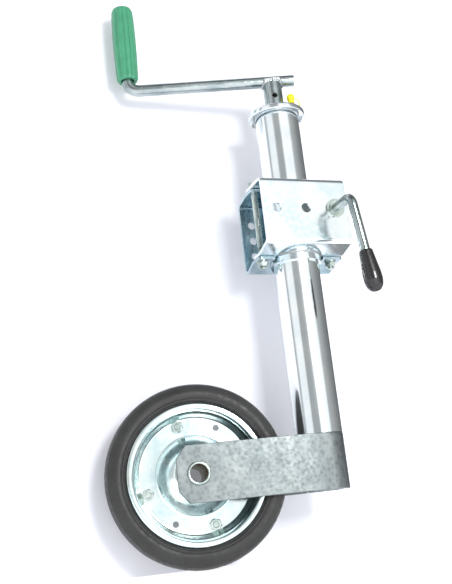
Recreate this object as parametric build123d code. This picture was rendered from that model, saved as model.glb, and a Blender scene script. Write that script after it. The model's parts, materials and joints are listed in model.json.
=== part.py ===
"""Trailer tongue jack: a clamp bracket, a sliding column with a screw leg, a crank and a jockey wheel.

The origin is the centre of the back plate's rear face, where it meets the drawbar.
+X runs along the plate to the lever side, +Y points into the drawbar and +Z is up.
"""
import os
from math import asin, atan2, cos, hypot, pi, radians, sin

from build123d import *

# ---- clearances between parts, mm
RUN = 0.05            # radial play of a shaft or tube that turns or slides in its bore
GAP = 0.4             # face to face gap between parts that move past each other
HOLE_PLAY = 0.4       # radial play of a bolt in a clearance hole

# ---- bracket
PLATE_T = 4.0         # sheet of both channels
PLATE_OVER = 30.0     # channels beyond the tube's side, along X
PLATE_SHIFT = 3.0     # channels sit this far towards the lever, off the tube's centre line
BACK_H = 103.0        # height of the back plate
FRONT_TOP = 61.0      # top of the front channel
FRONT_BOTTOM = -28.0  # bottom of the front channel's web
TAB_Z = -36.5         # underside of the front channel's lower tabs
BEND_R = 4.0          # inner radius of the sheet bends
FACE_OFF = 8.0        # tube's side to the drawbar face
WEB_OFF = 15.4        # tube's side to the outer face of the front web
TAB_REACH = 22.0      # length of the flat tab at each flange's end
TAB_LAP = 6.0         # tabs reach this far past the guide bolts
GUIDE_OFF = 19.0      # tube's side to the guide bolts
GUIDE_Y = -3.0        # guide bolts, in front of the tube axis
GUIDE_D = 8.0
GUIDE_AF = 13.0
GUIDE_HEAD_T = 5.5
GUIDE_NUT_T = 6.5
GUIDE_OUT = 9.5       # thread below the tabs
WASHER_T = 1.6
SADDLE_T = 4.0        # wall of the two half collars
SADDLE_DROP = 10.0    # collars show this far below the lower tabs
SADDLE_HALF = 72.0    # half angle of the front collar, degrees
EAR_WALL = 9.0        # ear beyond the clamp screw's axis
MOUNT_PITCH_X = 83.0  # hole pattern in the back plate
MOUNT_PITCH_Z = 22.0
MOUNT_D = 10.5

# ---- clamp lever
CLAMP_OFF = 15.0      # tube's side to the clamp screw's axis
CLAMP_Z = 18.5
HOLE_PITCH = 41.5     # three holes across the front web, the lever in the last
SCREW_D = 12.0
SCREW_PITCH = 1.75
LEVER_TURNS = 1.5
CLAMP_AF = 18.0
CLAMP_NUT_T = 10.0
LEVER_D = 12.0
LEVER_OUT = 44.0      # front web to the lever's long leg
LEVER_BEND = 12.0
LEVER_DOWN = 121.0    # screw axis to the end of the long leg
LEVER_LEAN = 7.2      # lean of the long leg, degrees
LEVER_GRIP_L = 54.0
LEVER_GRIP_D = 24.0

# ---- column
TUBE_D = 60.0
TUBE_WALL = 3.0
TUBE_L = 443.0
CAP_ABOVE = 174.0     # top face of the cap above the bracket's centre
CAP_OVER = 9.0        # cap beyond the tube's side
CAP_T = 3.0
CAP_RIM = 8.0
INNER_D = 50.0
INNER_WALL = 3.0
BUSH_L = 26.0
KEY_W = 6.0
KEY_L = 16.0
SPINDLE_D = 20.0
NECK_D = 16.0
SCREW_LEAD = 4.0      # leg travel per turn of the crank
STROKE = 200.0        # leg travel from closed to open
NUT_L = 30.0
BALL_D = 6.0
BALL_COUNT = 14
BALL_RING = 29.0
RACE_OD = 38.0
RACE_T = 2.5
COLLAR_T = 8.0
NIPPLE_X = 20.0
NIPPLE_Y = -12.0
NIPPLE_H = 19.0
NIPPLE_D = 6.0        # thread in the cap
NIPPLE_AF = 8.0
NIPPLE_HEX_T = 4.5
NIPPLE_TIP_D = 5.2
CAP_BALL_D = 11.0

# ---- crank
CRANK_ANGLE = 164.0   # direction of the arm from +X, degrees
CRANK_R = 199.5       # spindle to the grip's axis
CRANK_RISE = 50.0     # cap to the arm's axis
CRANK_D = 16.0
CRANK_STUB = 31.0
CRANK_BEND = 14.0
HUB_D = 26.0
HUB_COPE = 3.0        # how far the hub's cope reaches up round the arm
PIN_D = 8.0
PIN_WALL = 1.0
PIN_DROP = 27.0       # arm axis to the spring pin
GRIP_START = 15.0     # arm axis to the grip's lower end
GRIP_L = 114.0
GRIP_D = 33.0
GRIP_FLUTES = 10

# ---- leg and wheel, in the wheel's own plane
WHEEL_TURN = 12.1     # wheel plane against the bracket, degrees
AXLE_BACK = 159.0     # tube axis to the axle
FORK_H = 68.0
FORK_T = 5.0
FORK_END = 25.6       # fork beyond the axle
FORK_IN = 66.0        # width between the arms
FORK_JOG = 36.0       # arms run straight up to here from the tube axis
FORK_CHAMFER_X = 13.0
FORK_CHAMFER_Z = 16.0
AXLE_OD = 27.0
AXLE_WALL = 2.75
AXLE_PROUD = 2.0
WHEEL_D = 221.0
TYRE_W = 56.0
LIP_D = 171.0
BASE_D = 156.0        # rim base that the tyre sits on
SEAT_D = 140.0        # outer edge of the flat ring with the bolts
DOME_D = 98.0         # outer edge of the raised centre
RIM_T = 2.5
RIM_PCD = 125.0
RIM_BOLTS = 4
RIM_BOLT_ANGLE = 16.5
RIM_BOLT_D = 8.0
RIM_BOLT_AF = 13.0
RIM_HEAD_T = 5.5
RIM_NUT_T = 6.5
RIM_BOLT_OUT = 9.0    # thread behind the rim
RIM_HOLE_D = 7.5
HUB_TUBE_OD = 36.0
HUB_TUBE_WALL = 2.0
HUB_TUBE_L = 60.0

# ---- worked out from the sizes above
PLATE_W = TUBE_D + 2 * PLATE_OVER
TUBE_TO_FACE = TUBE_D / 2 + FACE_OFF
WEB_TO_TUBE = TUBE_D / 2 + WEB_OFF
GUIDE_X = TUBE_D / 2 + GUIDE_OFF
CLAMP_X = TUBE_D / 2 + CLAMP_OFF
EAR_TO = CLAMP_X + EAR_WALL
CAP_R = TUBE_D / 2 + CAP_OVER
TUBE_Y = -TUBE_TO_FACE
WEB_Y = TUBE_Y - WEB_TO_TUBE
GUIDE_AT = TUBE_Y + GUIDE_Y
TUBE_END = CAP_ABOVE - TUBE_L
FORK_TOP = TUBE_END - GAP
AXLE_Z = FORK_TOP - FORK_H / 2
LEG_BOTTOM = FORK_TOP - FORK_H
SADDLE_R = TUBE_D / 2 + RUN
SADDLE_OUT = SADDLE_R + SADDLE_T
JAW_TRAVEL = SCREW_PITCH * LEVER_TURNS
RACE_TOP = CAP_ABOVE - CAP_T
COLLAR_TOP = RACE_TOP - 2 * RACE_T - BALL_D - 2 * RUN
LEG_TOP = COLLAR_TOP - COLLAR_T - 2 * GAP
SPINDLE_END = LEG_TOP - STROKE - NUT_L - 2 * GAP
RIM_FACE = TYRE_W / 2 - 2.0
ARM_Z = CAP_ABOVE + CRANK_RISE
HUB_TOP = ARM_Z - CRANK_D / 2 + HUB_COPE

PARTS = {}


def ring(outer_r, inner_r, z0, z1):
    """A plain ring about Z between two heights."""
    solid = Cylinder(outer_r, z1 - z0) - Cylinder(inner_r, z1 - z0)
    return Pos(0, 0, (z0 + z1) / 2) * solid


def rod(radius, z0, z1):
    """A plain rod about Z between two heights."""
    return Pos(0, 0, (z0 + z1) / 2) * Cylinder(radius, z1 - z0)


def block(x0, x1, y0, y1, z0, z1):
    """A box from its low and high corners."""
    return Pos((x0 + x1) / 2, (y0 + y1) / 2, (z0 + z1) / 2) * Box(x1 - x0, y1 - y0, z1 - z0)


def hexagon(across_flats, z0, z1):
    """A hexagon prism about Z with its corners turned off at both ends, and a flat facing +X."""
    flat = across_flats / 2
    wide = flat + z1 - z0
    prism = extrude(Rot(0, 0, 30) * RegularPolygon(flat, 6, major_radius=False), z1 - z0)
    low_cone = revolve_profile([(0, z0), (flat, z0), (wide, z1), (0, z1)])
    high_cone = revolve_profile([(0, z0), (wide, z0), (flat, z1), (0, z1)])
    return (Pos(0, 0, z0) * prism) & low_cone & high_cone


def revolve_profile(points):
    """Turns a closed outline of (radius, height) points about Z."""
    return revolve(Plane.XZ * make_face(Polyline(*points, close=True)), Axis.Z)


def at_tube(shape):
    """Moves a shape drawn about Z onto the tube's axis."""
    return Pos(0, TUBE_Y, 0) * shape


def in_wheel_plane(shape):
    """Turns a shape drawn in the wheel's plane, tube on Z and wheel towards -X, into place."""
    return at_tube(Rot(0, 0, -WHEEL_TURN) * shape)


def at_axle(shape):
    """Lays a shape drawn about Z along the axle, +Z towards the wheel's front."""
    return in_wheel_plane(Pos(-AXLE_BACK, 0, AXLE_Z) * Rot(90, 0, 0) * shape)


def on_clamp_axis(shape):
    """Lays a shape drawn about Z along the clamp screw, +Z from the front web towards the viewer."""
    return Pos(CLAMP_X, WEB_Y, CLAMP_Z) * Rot(90, 0, 0) * shape


def together(shapes):
    """Groups separate identical solids in one node."""
    return Compound(children=list(shapes))


# ---------------------------------------------------------------- bracket
def bent_strip(points, thickness, inner_radius, x0, x1):
    """A sheet bent along an outer path of (y, z) points, its thickness on the path's left."""
    normals = []
    for (ya, za), (yb, zb) in zip(points, points[1:]):
        run = hypot(yb - ya, zb - za)
        normals.append((-(zb - za) / run, (yb - ya) / run))
    inner = []
    for index, (y, z) in enumerate(points):
        before = normals[max(index - 1, 0)]
        after = normals[min(index, len(normals) - 1)]
        mean = (before[0] + after[0], before[1] + after[1])
        scale = 2 * thickness / (mean[0] ** 2 + mean[1] ** 2)
        inner.append((y + mean[0] * scale, z + mean[1] * scale))
    face = make_face(Polyline(*points, *reversed(inner), close=True))
    outer_corners = [v for v in face.vertices() if near_any(v, points[1:-1])]
    face = fillet(outer_corners, inner_radius + thickness)
    inner_corners = [v for v in face.vertices() if near_any(v, inner[1:-1])]
    face = fillet(inner_corners, inner_radius)
    # the sketch plane's x is the part's y and its y is the part's z, so the sheet grows along +X
    return Pos(x0, 0, 0) * extrude(Plane.YZ * face, x1 - x0)


def near_any(vertex, points):
    """True where a sketch corner is one of the given points."""
    return any(hypot(vertex.X - y, vertex.Y - z) < 0.01 for y, z in points)


def plate_span():
    """Left and right edges of both channels."""
    return PLATE_SHIFT - PLATE_W / 2, PLATE_SHIFT + PLATE_W / 2


def tab_levels():
    """Outer heights of the back channel's tabs, which nest inside the front channel's."""
    return FRONT_TOP - PLATE_T - GAP, TAB_Z - GAP - PLATE_T


def mount_spots():
    """Holes for the drawbar bolts in the back plate."""
    for x in (-MOUNT_PITCH_X / 2, MOUNT_PITCH_X / 2):
        for z in (-MOUNT_PITCH_Z, 0, MOUNT_PITCH_Z):
            yield x, z


def back_channel():
    """Plate on the drawbar, with an upper and a lower flange that reach round the tube."""
    x0, x1 = plate_span()
    top, bottom = tab_levels()
    tab_front = GUIDE_AT - TAB_LAP - GUIDE_D / 2
    tab_back = tab_front + TAB_REACH
    path = [(tab_front, top), (tab_back, top), (0, BACK_H / 2), (0, -BACK_H / 2),
            (tab_back, bottom), (tab_front, bottom)]
    sheet = bent_strip(path[::-1], PLATE_T, BEND_R, x0, x1)
    high = BACK_H
    sheet -= at_tube(Cylinder(SADDLE_OUT, 2 * high))
    half = SADDLE_OUT + GAP
    sheet -= block(-half, half, TUBE_Y - half, TUBE_Y, -high, high)
    for x, z in mount_spots():
        sheet -= Pos(x, -PLATE_T / 2, z) * Rot(90, 0, 0) * Cylinder(MOUNT_D / 2, 3 * PLATE_T)
    for x in (-GUIDE_X, GUIDE_X):
        sheet -= Pos(x, GUIDE_AT, 0) * Cylinder(GUIDE_D / 2, 2 * high)
    return round_tab_corners(sheet, x0, x1, tab_front)


def round_tab_corners(sheet, x0, x1, y):
    """Rounds the vertical corners at a flange's free end."""
    corners = []
    for edge in sheet.edges().filter_by(Axis.Z):
        middle = edge.center()
        if abs(middle.Y - y) < 0.01 and min(abs(middle.X - x0), abs(middle.X - x1)) < 0.01:
            corners.append(edge)
    return fillet(corners, GUIDE_D / 2)


def front_channel():
    """Moving jaw: a channel that closes over the back channel's tabs."""
    x0, x1 = plate_span()
    tab_back = GUIDE_AT + TAB_LAP + GUIDE_D / 2
    tab_front = tab_back - TAB_REACH
    path = [(tab_back, FRONT_TOP), (WEB_Y, FRONT_TOP), (WEB_Y, FRONT_BOTTOM),
            (tab_front, TAB_Z), (tab_back, TAB_Z)]
    sheet = bent_strip(path, PLATE_T, BEND_R, x0, x1)
    high = BACK_H
    sheet -= at_tube(Cylinder(SADDLE_OUT, 2 * high))
    half = SADDLE_OUT + GAP
    sheet -= block(-half, half, TUBE_Y, TUBE_Y + half, -high, high)
    for step in range(3):
        x = CLAMP_X - step * HOLE_PITCH
        sheet -= Pos(x, WEB_Y, CLAMP_Z) * Rot(90, 0, 0) * Cylinder(SCREW_D / 2 + HOLE_PLAY, 3 * PLATE_T)
    for x in (-GUIDE_X, GUIDE_X):
        sheet -= guide_slot(x, 2 * high)
    return round_tab_corners(sheet, x0, x1, tab_back)


def guide_slot(x, height):
    """Slot that lets the jaw move off the tube past a guide bolt."""
    radius = GUIDE_D / 2 + HOLE_PLAY
    ends = [Pos(x, GUIDE_AT + shift, 0) * Cylinder(radius, height) for shift in (0, JAW_TRAVEL)]
    middle = block(x - radius, x + radius, GUIDE_AT, GUIDE_AT + JAW_TRAVEL, -height / 2, height / 2)
    return ends[0] + ends[1] + middle


def guide_levels():
    """Outer faces that each guide bolt clamps: above the top tabs and under the lower tabs."""
    return FRONT_TOP + GAP, tab_levels()[1]


def at_guide(side, shape):
    """Moves a shape drawn about Z to the guide bolts on one side of the tube."""
    return Pos(side * GUIDE_X, GUIDE_AT, 0) * shape


def guide_bolts():
    """Short bolts through each pair of tabs on the lever side, and one long bolt on the other side."""
    up, down = guide_levels()
    inner_up = tab_levels()[0] - PLATE_T
    seat_up = up + WASHER_T
    seat_low = TAB_Z + PLATE_T + GAP
    end_low = down - WASHER_T - GUIDE_OUT
    head = hexagon(GUIDE_AF, seat_up, seat_up + GUIDE_HEAD_T)
    top = head + rod(GUIDE_D / 2, inner_up - GUIDE_OUT, seat_up)
    low = hexagon(GUIDE_AF, seat_low, seat_low + GUIDE_HEAD_T) + rod(GUIDE_D / 2, end_low, seat_low)
    long = head + rod(GUIDE_D / 2, end_low, seat_up)
    return together([at_guide(1, top), at_guide(1, low), at_guide(-1, long)])


def guide_washers():
    """A washer on the outer face of each pair of tabs."""
    up, down = guide_levels()
    top = ring(GUIDE_D, GUIDE_D / 2, up, up + WASHER_T)
    low = ring(GUIDE_D, GUIDE_D / 2, down - WASHER_T, down)
    return together([at_guide(side, washer) for side in (-1, 1) for washer in (top, low)])


def guide_nuts():
    """A nut under each bolt's last pair of tabs."""
    high, low = tab_levels()[0] - PLATE_T, guide_levels()[1] - WASHER_T
    nuts = []
    for side, seat in ((1, high), (1, low), (-1, low)):
        end = seat - GUIDE_NUT_T
        nuts.append(at_guide(side, hexagon(GUIDE_AF, end, seat) - rod(GUIDE_D / 2, end, seat)))
    return together(nuts)


def saddle_shell(z0, z1, middle_angle, half_angle):
    """Part of a collar round the tube, centred on a direction from +X."""
    shell = ring(SADDLE_OUT, SADDLE_R, z0, z1)
    reach = 3 * TUBE_D
    fan = [(0, 0)]
    for step in range(5):
        angle = radians(middle_angle + half_angle * (step - 2) / 2)
        fan.append((reach * cos(angle), reach * sin(angle)))
    wedge = Pos(0, 0, z0) * extrude(make_face(Polyline(*fan, close=True)), z1 - z0)
    return at_tube(shell & wedge)


def front_saddle():
    """Half collar welded in the front channel, which presses on the tube."""
    return saddle_shell(TAB_Z - SADDLE_DROP, FRONT_TOP + 2, -90, SADDLE_HALF)


def back_saddle():
    """Half collar welded in the back channel, with an ear that carries the clamp nut."""
    top, bottom = tab_levels()
    shell = saddle_shell(bottom - 2, top + 2, 90, 90)
    z0 = TAB_Z + PLATE_T + 10
    z1 = top - PLATE_T - 14
    shell += block(SADDLE_R + 0.5, EAR_TO, TUBE_Y - PLATE_T, TUBE_Y, z0, z1)
    shell -= at_tube(rod(SADDLE_R, bottom - 3, top + 3))
    return shell - on_clamp_axis(Cylinder(SCREW_D / 2 + HOLE_PLAY, 4 * TUBE_D))


def clamp_nut():
    """Nut behind the ear, in which the clamp screw turns."""
    near = TUBE_Y - WEB_Y
    nut = hexagon(CLAMP_AF, -near - CLAMP_NUT_T, -near)
    return on_clamp_axis(nut - rod(SCREW_D / 2 + RUN, -near - CLAMP_NUT_T, -near))


# ---------------------------------------------------------------- clamp lever
def lever_path():
    """Corners of the lever's bent rod: out from the web, then down."""
    start = Vector(CLAMP_X, WEB_Y, CLAMP_Z)
    corner = start + Vector(0, -LEVER_OUT, 0)
    lean = radians(LEVER_LEAN)
    down = Vector(sin(lean), 0, -cos(lean))
    return start, corner, corner + down * LEVER_DOWN


def clamp_lever():
    """Screw and hand lever in one bent rod."""
    start, corner, end = lever_path()
    path = FilletPolyline(start, corner, end, radius=LEVER_BEND)
    section = Plane(origin=start, z_dir=corner - start) * Circle(LEVER_D / 2)
    bar = sweep(section, path=path)
    screw_end = WEB_TO_TUBE + CLAMP_NUT_T + 2
    return bar + on_clamp_axis(rod(SCREW_D / 2, -screw_end, GAP))


def lever_washers():
    """A wide and a narrow washer under the lever's weld shoulder."""
    wide = ring(12.5, SCREW_D / 2 + RUN, GAP / 2, GAP / 2 + 2.5)
    narrow = ring(9.0, SCREW_D / 2 + RUN, GAP / 2 + 2.5, GAP / 2 + 5.0)
    return together([on_clamp_axis(wide), on_clamp_axis(narrow)])


def lever_grip():
    """Dipped plastic grip, thicker towards its end."""
    start, corner, end = lever_path()
    down = (end - corner).normalized()
    begin = LEVER_DOWN - LEVER_GRIP_L + 6
    big = LEVER_GRIP_D / 2
    profile = Polyline((0, 0), (7.0, 0), (8.2, 1.5))
    side = Spline((8.2, 1.5), (10.2, 18), (big, 38), (8.0, LEVER_GRIP_L - 3.0), (0, LEVER_GRIP_L),
                  tangents=[(0.3, 1), (-1, 0)])
    face = make_face(Wire([*profile.edges(), side, Line((0, LEVER_GRIP_L), (0, 0))]))
    body = revolve(Plane.XZ * face, Axis.Z)
    body -= rod(LEVER_D / 2, -1, LEVER_GRIP_L - 6)
    place = Plane(origin=corner + down * begin, z_dir=down)
    return place * body


# ---------------------------------------------------------------- column
def outer_tube():
    """Outer tube, clamped in the bracket."""
    return at_tube(ring(TUBE_D / 2, TUBE_D / 2 - TUBE_WALL, TUBE_END, RACE_TOP))


def top_cap():
    """Pressed cap with a turned-down rim, welded on the tube."""
    edge = 2.5
    top = CAP_ABOVE
    outer, inner, bore = CAP_R, CAP_R - edge, NECK_D / 2 + HOLE_PLAY
    outline = [(bore, top), (outer - edge, top), (outer, top - edge), (outer, top - CAP_RIM),
               (inner, top - CAP_RIM), (inner, top - CAP_T - 1), (inner - 1, top - CAP_T), (bore, top - CAP_T)]
    cap = revolve_profile(outline)
    cap -= Pos(NIPPLE_X, NIPPLE_Y, 0) * rod(NIPPLE_D / 2, top - 2 * CAP_T, top + CAP_T)
    return at_tube(cap)


def guide_bush():
    """Ring in the mouth of the outer tube that the leg slides in."""
    bush = ring(TUBE_D / 2 - TUBE_WALL, INNER_D / 2 + RUN, TUBE_END, TUBE_END + BUSH_L)
    return at_tube(bush)


def guide_key():
    """Key that stops the leg from turning in the tube."""
    r0 = INNER_D / 2 - INNER_WALL + 0.4
    r1 = INNER_D / 2 + RUN
    low = TUBE_END + (BUSH_L - KEY_L) / 2
    key = block(-KEY_W / 2, KEY_W / 2, r0, r1 + 1, low, low + KEY_L)
    return at_tube(key & rod(r1, low, low + KEY_L))


def grease_nipple():
    """Grease nipple in the cap."""
    top = CAP_ABOVE
    shape = rod(NIPPLE_D / 2, top - 8, top + 1) + hexagon(NIPPLE_AF, top, top + NIPPLE_HEX_T)
    shape += rod(NIPPLE_TIP_D / 2, top + NIPPLE_HEX_T, top + NIPPLE_H)
    return at_tube(Pos(NIPPLE_X, NIPPLE_Y, 0) * shape)


def grease_cap():
    """Soft dust cap pushed over the nipple."""
    foot = CAP_ABOVE + NIPPLE_H - 7.0
    ball_z = CAP_ABOVE + NIPPLE_H + 2.0
    shape = rod(4.6, foot, ball_z) + Pos(0, 0, ball_z) * Sphere(CAP_BALL_D / 2)
    shape -= rod(NIPPLE_TIP_D / 2 + RUN, foot - 1, CAP_ABOVE + NIPPLE_H + RUN)
    return at_tube(Pos(NIPPLE_X, NIPPLE_Y, 0) * shape)


def cap_tether():
    """Ring round the nipple's foot with the strap that keeps the dust cap."""
    low = CAP_ABOVE + 5.0
    strap_r = 0.8
    shape = ring(5.4, NIPPLE_TIP_D / 2 + 2 * RUN, low, low + 2 * strap_r)
    reach = 15.0
    foot, head = low + strap_r, CAP_ABOVE + NIPPLE_H + 1.5
    path = FilletPolyline((5.0, 0, foot), (reach, 0, foot), (reach, 0, head), (6.3, 0, head), radius=4.0)
    section = Plane(origin=(5.0, 0, foot), z_dir=(1, 0, 0)) * Circle(strap_r)
    shape += sweep(section, path=path)
    return at_tube(Pos(NIPPLE_X, NIPPLE_Y, 0) * Rot(0, 0, 15) * shape)


def upper_race():
    """Upper washer of the thrust bearing, seated under the cap."""
    return at_tube(ring(RACE_OD / 2, NECK_D / 2 + 0.5, RACE_TOP - RACE_T, RACE_TOP))


def ball_level():
    """Height of the ball centres."""
    return RACE_TOP - RACE_T - RUN - BALL_D / 2


def ball_spots():
    """Directions of the balls about the spindle."""
    return [360 * index / BALL_COUNT for index in range(BALL_COUNT)]


def thrust_balls():
    """Balls of the thrust bearing."""
    spot = Pos(BALL_RING / 2, 0, ball_level())
    return together([at_tube(Rot(0, 0, angle) * spot * Sphere(BALL_D / 2)) for angle in ball_spots()])


def ball_cage():
    """Cage that spaces the balls."""
    z = ball_level()
    cage = ring(RACE_OD / 2 - 0.5, NECK_D / 2 + 1.5, z - 1, z + 1)
    for angle in ball_spots():
        cage -= Rot(0, 0, angle) * Pos(BALL_RING / 2, 0, z) * Cylinder(BALL_D / 2 + RUN, 4)
    return at_tube(cage)


def lower_race():
    """Lower washer of the thrust bearing, which turns with the spindle."""
    return at_tube(ring(RACE_OD / 2, NECK_D / 2, COLLAR_TOP, COLLAR_TOP + RACE_T))


# ---------------------------------------------------------------- crank
def spindle():
    """Lifting screw: a neck through the cap and the screw below it."""
    shape = rod(NECK_D / 2, COLLAR_TOP - COLLAR_T, ARM_Z - CRANK_D / 2)
    shape += rod(SPINDLE_D / 2, SPINDLE_END, COLLAR_TOP - COLLAR_T)
    return at_tube(shape - pin_hole())


def spindle_collar():
    """Collar on the spindle that carries the load into the bearing."""
    return at_tube(ring(RACE_OD / 2 - 2, NECK_D / 2, COLLAR_TOP - COLLAR_T, COLLAR_TOP))


def crank_turned(shape):
    """Turns a shape drawn with the arm along +X to the arm's direction."""
    return Rot(0, 0, CRANK_ANGLE) * shape


def pin_hole():
    """Space of the spring pin across the hub."""
    return crank_turned(Pos(0, 0, ARM_Z - PIN_DROP) * Rot(90, 0, 0) * Cylinder(PIN_D / 2, 2 * HUB_D))


def arm_space():
    """Room that the arm takes out of the hub."""
    return crank_turned(Pos(0, 0, ARM_Z) * Rot(0, 90, 0) * Cylinder(CRANK_D / 2, 3 * HUB_D))


def crank_hub():
    """Socket on the spindle's neck, coped to the arm."""
    hub = ring(HUB_D / 2, NECK_D / 2, CAP_ABOVE + GAP, HUB_TOP) - arm_space()
    return at_tube(hub - pin_hole())


def spring_pin():
    """Rolled pin that holds the hub on the spindle."""
    tube = ring(PIN_D / 2, PIN_D / 2 - PIN_WALL, -HUB_D / 2 + 0.3, HUB_D / 2 - 0.3)
    tube -= block(0, PIN_D, -0.5, 0.5, -HUB_D, HUB_D)
    return at_tube(crank_turned(Pos(0, 0, ARM_Z - PIN_DROP) * Rot(90, 0, 0) * tube))


def crank_path():
    """Corners of the crank rod, drawn with the arm along +X."""
    top = ARM_Z + GRIP_START + GRIP_L - 10
    return (-CRANK_STUB, 0, ARM_Z), (CRANK_R, 0, ARM_Z), (CRANK_R, 0, top)


def crank_rod():
    """Round bar: the arm, and the upright that the grip turns on."""
    start, corner, end = crank_path()
    path = FilletPolyline(start, corner, end, radius=CRANK_BEND)
    bar = sweep(Plane(origin=start, z_dir=(1, 0, 0)) * Circle(CRANK_D / 2), path=path)
    return at_tube(crank_turned(bar))


def hub_weld():
    """Weld beads along both sides of the arm on the hub."""
    below = block(-HUB_D, HUB_D, -HUB_D, HUB_D, HUB_TOP - 9, HUB_TOP)
    beads = []
    for side in (-1, 1):
        bar = Pos(0, side * (CRANK_D / 2 + 1.5), HUB_TOP + 1.5) * Rot(0, 90, 0) * Cylinder(3.5, HUB_D - 2)
        beads.append(at_tube(crank_turned(bar - below)))
    space = at_tube(arm_space())
    return together([bead - space for bead in beads])


def crank_grip():
    """Fluted plastic grip that turns on the upright."""
    mid = GRIP_D / 2
    side = Spline((mid - 1.6, 2.5), (mid - 0.4, GRIP_L * 0.3), (mid - 0.2, GRIP_L * 0.65),
                  (mid - 2.8, GRIP_L - 4), tangents=[(0.1, 1), (-0.25, 1)])
    lower = Polyline((0, 0), (mid - 3.6, 0), (mid - 1.6, 2.5))
    upper = Polyline((mid - 2.8, GRIP_L - 4), (mid - 5.0, GRIP_L - 1), (4, GRIP_L), (3, GRIP_L + 3),
                     (0, GRIP_L + 3.5), (0, 0))
    body = revolve(Plane.XZ * make_face(Wire([*lower.edges(), side, *upper.edges()])), Axis.Z)
    for index in range(GRIP_FLUTES):
        flute = Rot(0, 0, 360 * index / GRIP_FLUTES) * Pos(mid + 1.6, 0, GRIP_L / 2)
        body -= flute * Cylinder(3.0, GRIP_L - 22)
    body -= rod(CRANK_D / 2 + 0.35, -1, GRIP_L - 9.5)
    return at_tube(crank_turned(Pos(CRANK_R, 0, ARM_Z + GRIP_START) * body))


# ---------------------------------------------------------------- leg
def spindle_nut():
    """Long nut welded in the top of the leg."""
    return at_tube(ring(INNER_D / 2 - INNER_WALL, SPINDLE_D / 2 + RUN, LEG_TOP - NUT_L, LEG_TOP))


def inner_tube():
    """Leg tube with the slot that the key runs in."""
    tube = ring(INNER_D / 2, INNER_D / 2 - INNER_WALL, LEG_BOTTOM, LEG_TOP)
    low = TUBE_END + (BUSH_L - KEY_L) / 2 - 2
    half = KEY_W / 2 + 0.3
    tube -= block(-half, half, 0, INNER_D, low, low + KEY_L + STROKE + 4)
    return at_tube(tube)


def fork_outline(tube_r, half_width, end):
    """Convex outline round the tube and the arms."""
    far = Vector(-FORK_JOG, half_width)
    reach = hypot(FORK_JOG, half_width)
    angle = atan2(half_width, -FORK_JOG) - (pi / 2 - asin(tube_r / reach))
    touch = (tube_r * cos(angle), tube_r * sin(angle))
    mirror = (touch[0], -touch[1])
    arc = ThreePointArc(mirror, (tube_r, 0), touch)
    sides = Polyline(touch, (far.X, far.Y), (-end, half_width), (-end, -half_width), (far.X, -far.Y), mirror)
    return make_face(Wire([arc, *sides.edges()]))


def fork():
    """Strap bent round the leg tube into two arms."""
    end = AXLE_BACK + FORK_END
    outer = fork_outline(INNER_D / 2 + FORK_T, FORK_IN / 2 + FORK_T, end)
    inner = fork_outline(INNER_D / 2, FORK_IN / 2, end + 10)
    strap = Pos(0, 0, LEG_BOTTOM) * extrude(outer - inner, FORK_H)
    tall = 2 * FORK_H
    for sign in (-1, 1):
        corner = Pos(-end, 0, AXLE_Z + sign * FORK_H / 2)
        cut = Polyline((-1, sign), (FORK_CHAMFER_X, sign), (-1, -sign * FORK_CHAMFER_Z), close=True)
        strap -= corner * extrude(Plane.XZ * make_face(cut), tall, both=True)
    strap -= Pos(-AXLE_BACK, 0, AXLE_Z) * Rot(90, 0, 0) * Cylinder(AXLE_OD / 2, tall)
    return in_wheel_plane(strap)


def axle_tube():
    """Hollow axle fixed in the fork's arms."""
    half = FORK_IN / 2 + FORK_T + AXLE_PROUD
    return at_axle(ring(AXLE_OD / 2, AXLE_OD / 2 - AXLE_WALL, -half, half))


def axle_washers():
    """Thrust washers between the wheel's hub and the arms."""
    inner, outer = HUB_TUBE_L / 2 + GAP, FORK_IN / 2
    pair = [ring(21.0, AXLE_OD / 2, inner, outer), ring(21.0, AXLE_OD / 2, -outer, -inner)]
    return together([at_axle(washer) for washer in pair])


# ---------------------------------------------------------------- wheel
def disc_outline():
    """Section of one pressed half of the rim, as (radius, distance from the wheel's middle)."""
    hub_r = HUB_TUBE_OD / 2
    rise = HUB_TUBE_L / 2 - 8
    outer = [(hub_r, rise), (hub_r + 9, rise), (DOME_D / 2, RIM_T), (SEAT_D / 2, RIM_T),
             (BASE_D / 2 - RIM_T, 8), (BASE_D / 2 - RIM_T, RIM_FACE - 3), (BASE_D / 2, RIM_FACE),
             (LIP_D / 2 - 1, RIM_FACE), (LIP_D / 2, RIM_FACE - 1)]
    inner = [(LIP_D / 2, RIM_FACE - RIM_T), (BASE_D / 2 + 0.5, RIM_FACE - RIM_T),
             (BASE_D / 2, RIM_FACE - RIM_T - 1), (BASE_D / 2, 5), (SEAT_D / 2 + 3, 0), (DOME_D / 2 - 2, 0),
             (hub_r + 8, rise - RIM_T), (hub_r, rise - RIM_T)]
    return outer + inner


def rim_spots(angles):
    """Directions on the bolt circle, as places about the wheel's axis."""
    return [Rot(0, 0, angle) * Pos(RIM_PCD / 2, 0, 0) for angle in angles]


def bolt_angles():
    """Rim bolts, measured from +X towards +Z on the wheel's front."""
    return [RIM_BOLT_ANGLE + 360 * index / RIM_BOLTS for index in range(RIM_BOLTS)]


def drain_angles():
    """Two small holes half way between bolts."""
    first = RIM_BOLT_ANGLE + 180 / RIM_BOLTS
    return [first, first + 180]


def rim_half(front):
    """One pressed half of the rim."""
    disc = revolve_profile(disc_outline())
    if not front:
        disc = mirror(disc, about=Plane.XY)
    for spot in rim_spots(bolt_angles()):
        disc -= spot * Cylinder(RIM_BOLT_D / 2, 30)
    for spot in rim_spots(drain_angles()):
        disc -= spot * Cylinder(RIM_HOLE_D / 2, 30)
    return at_axle(disc)


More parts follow.
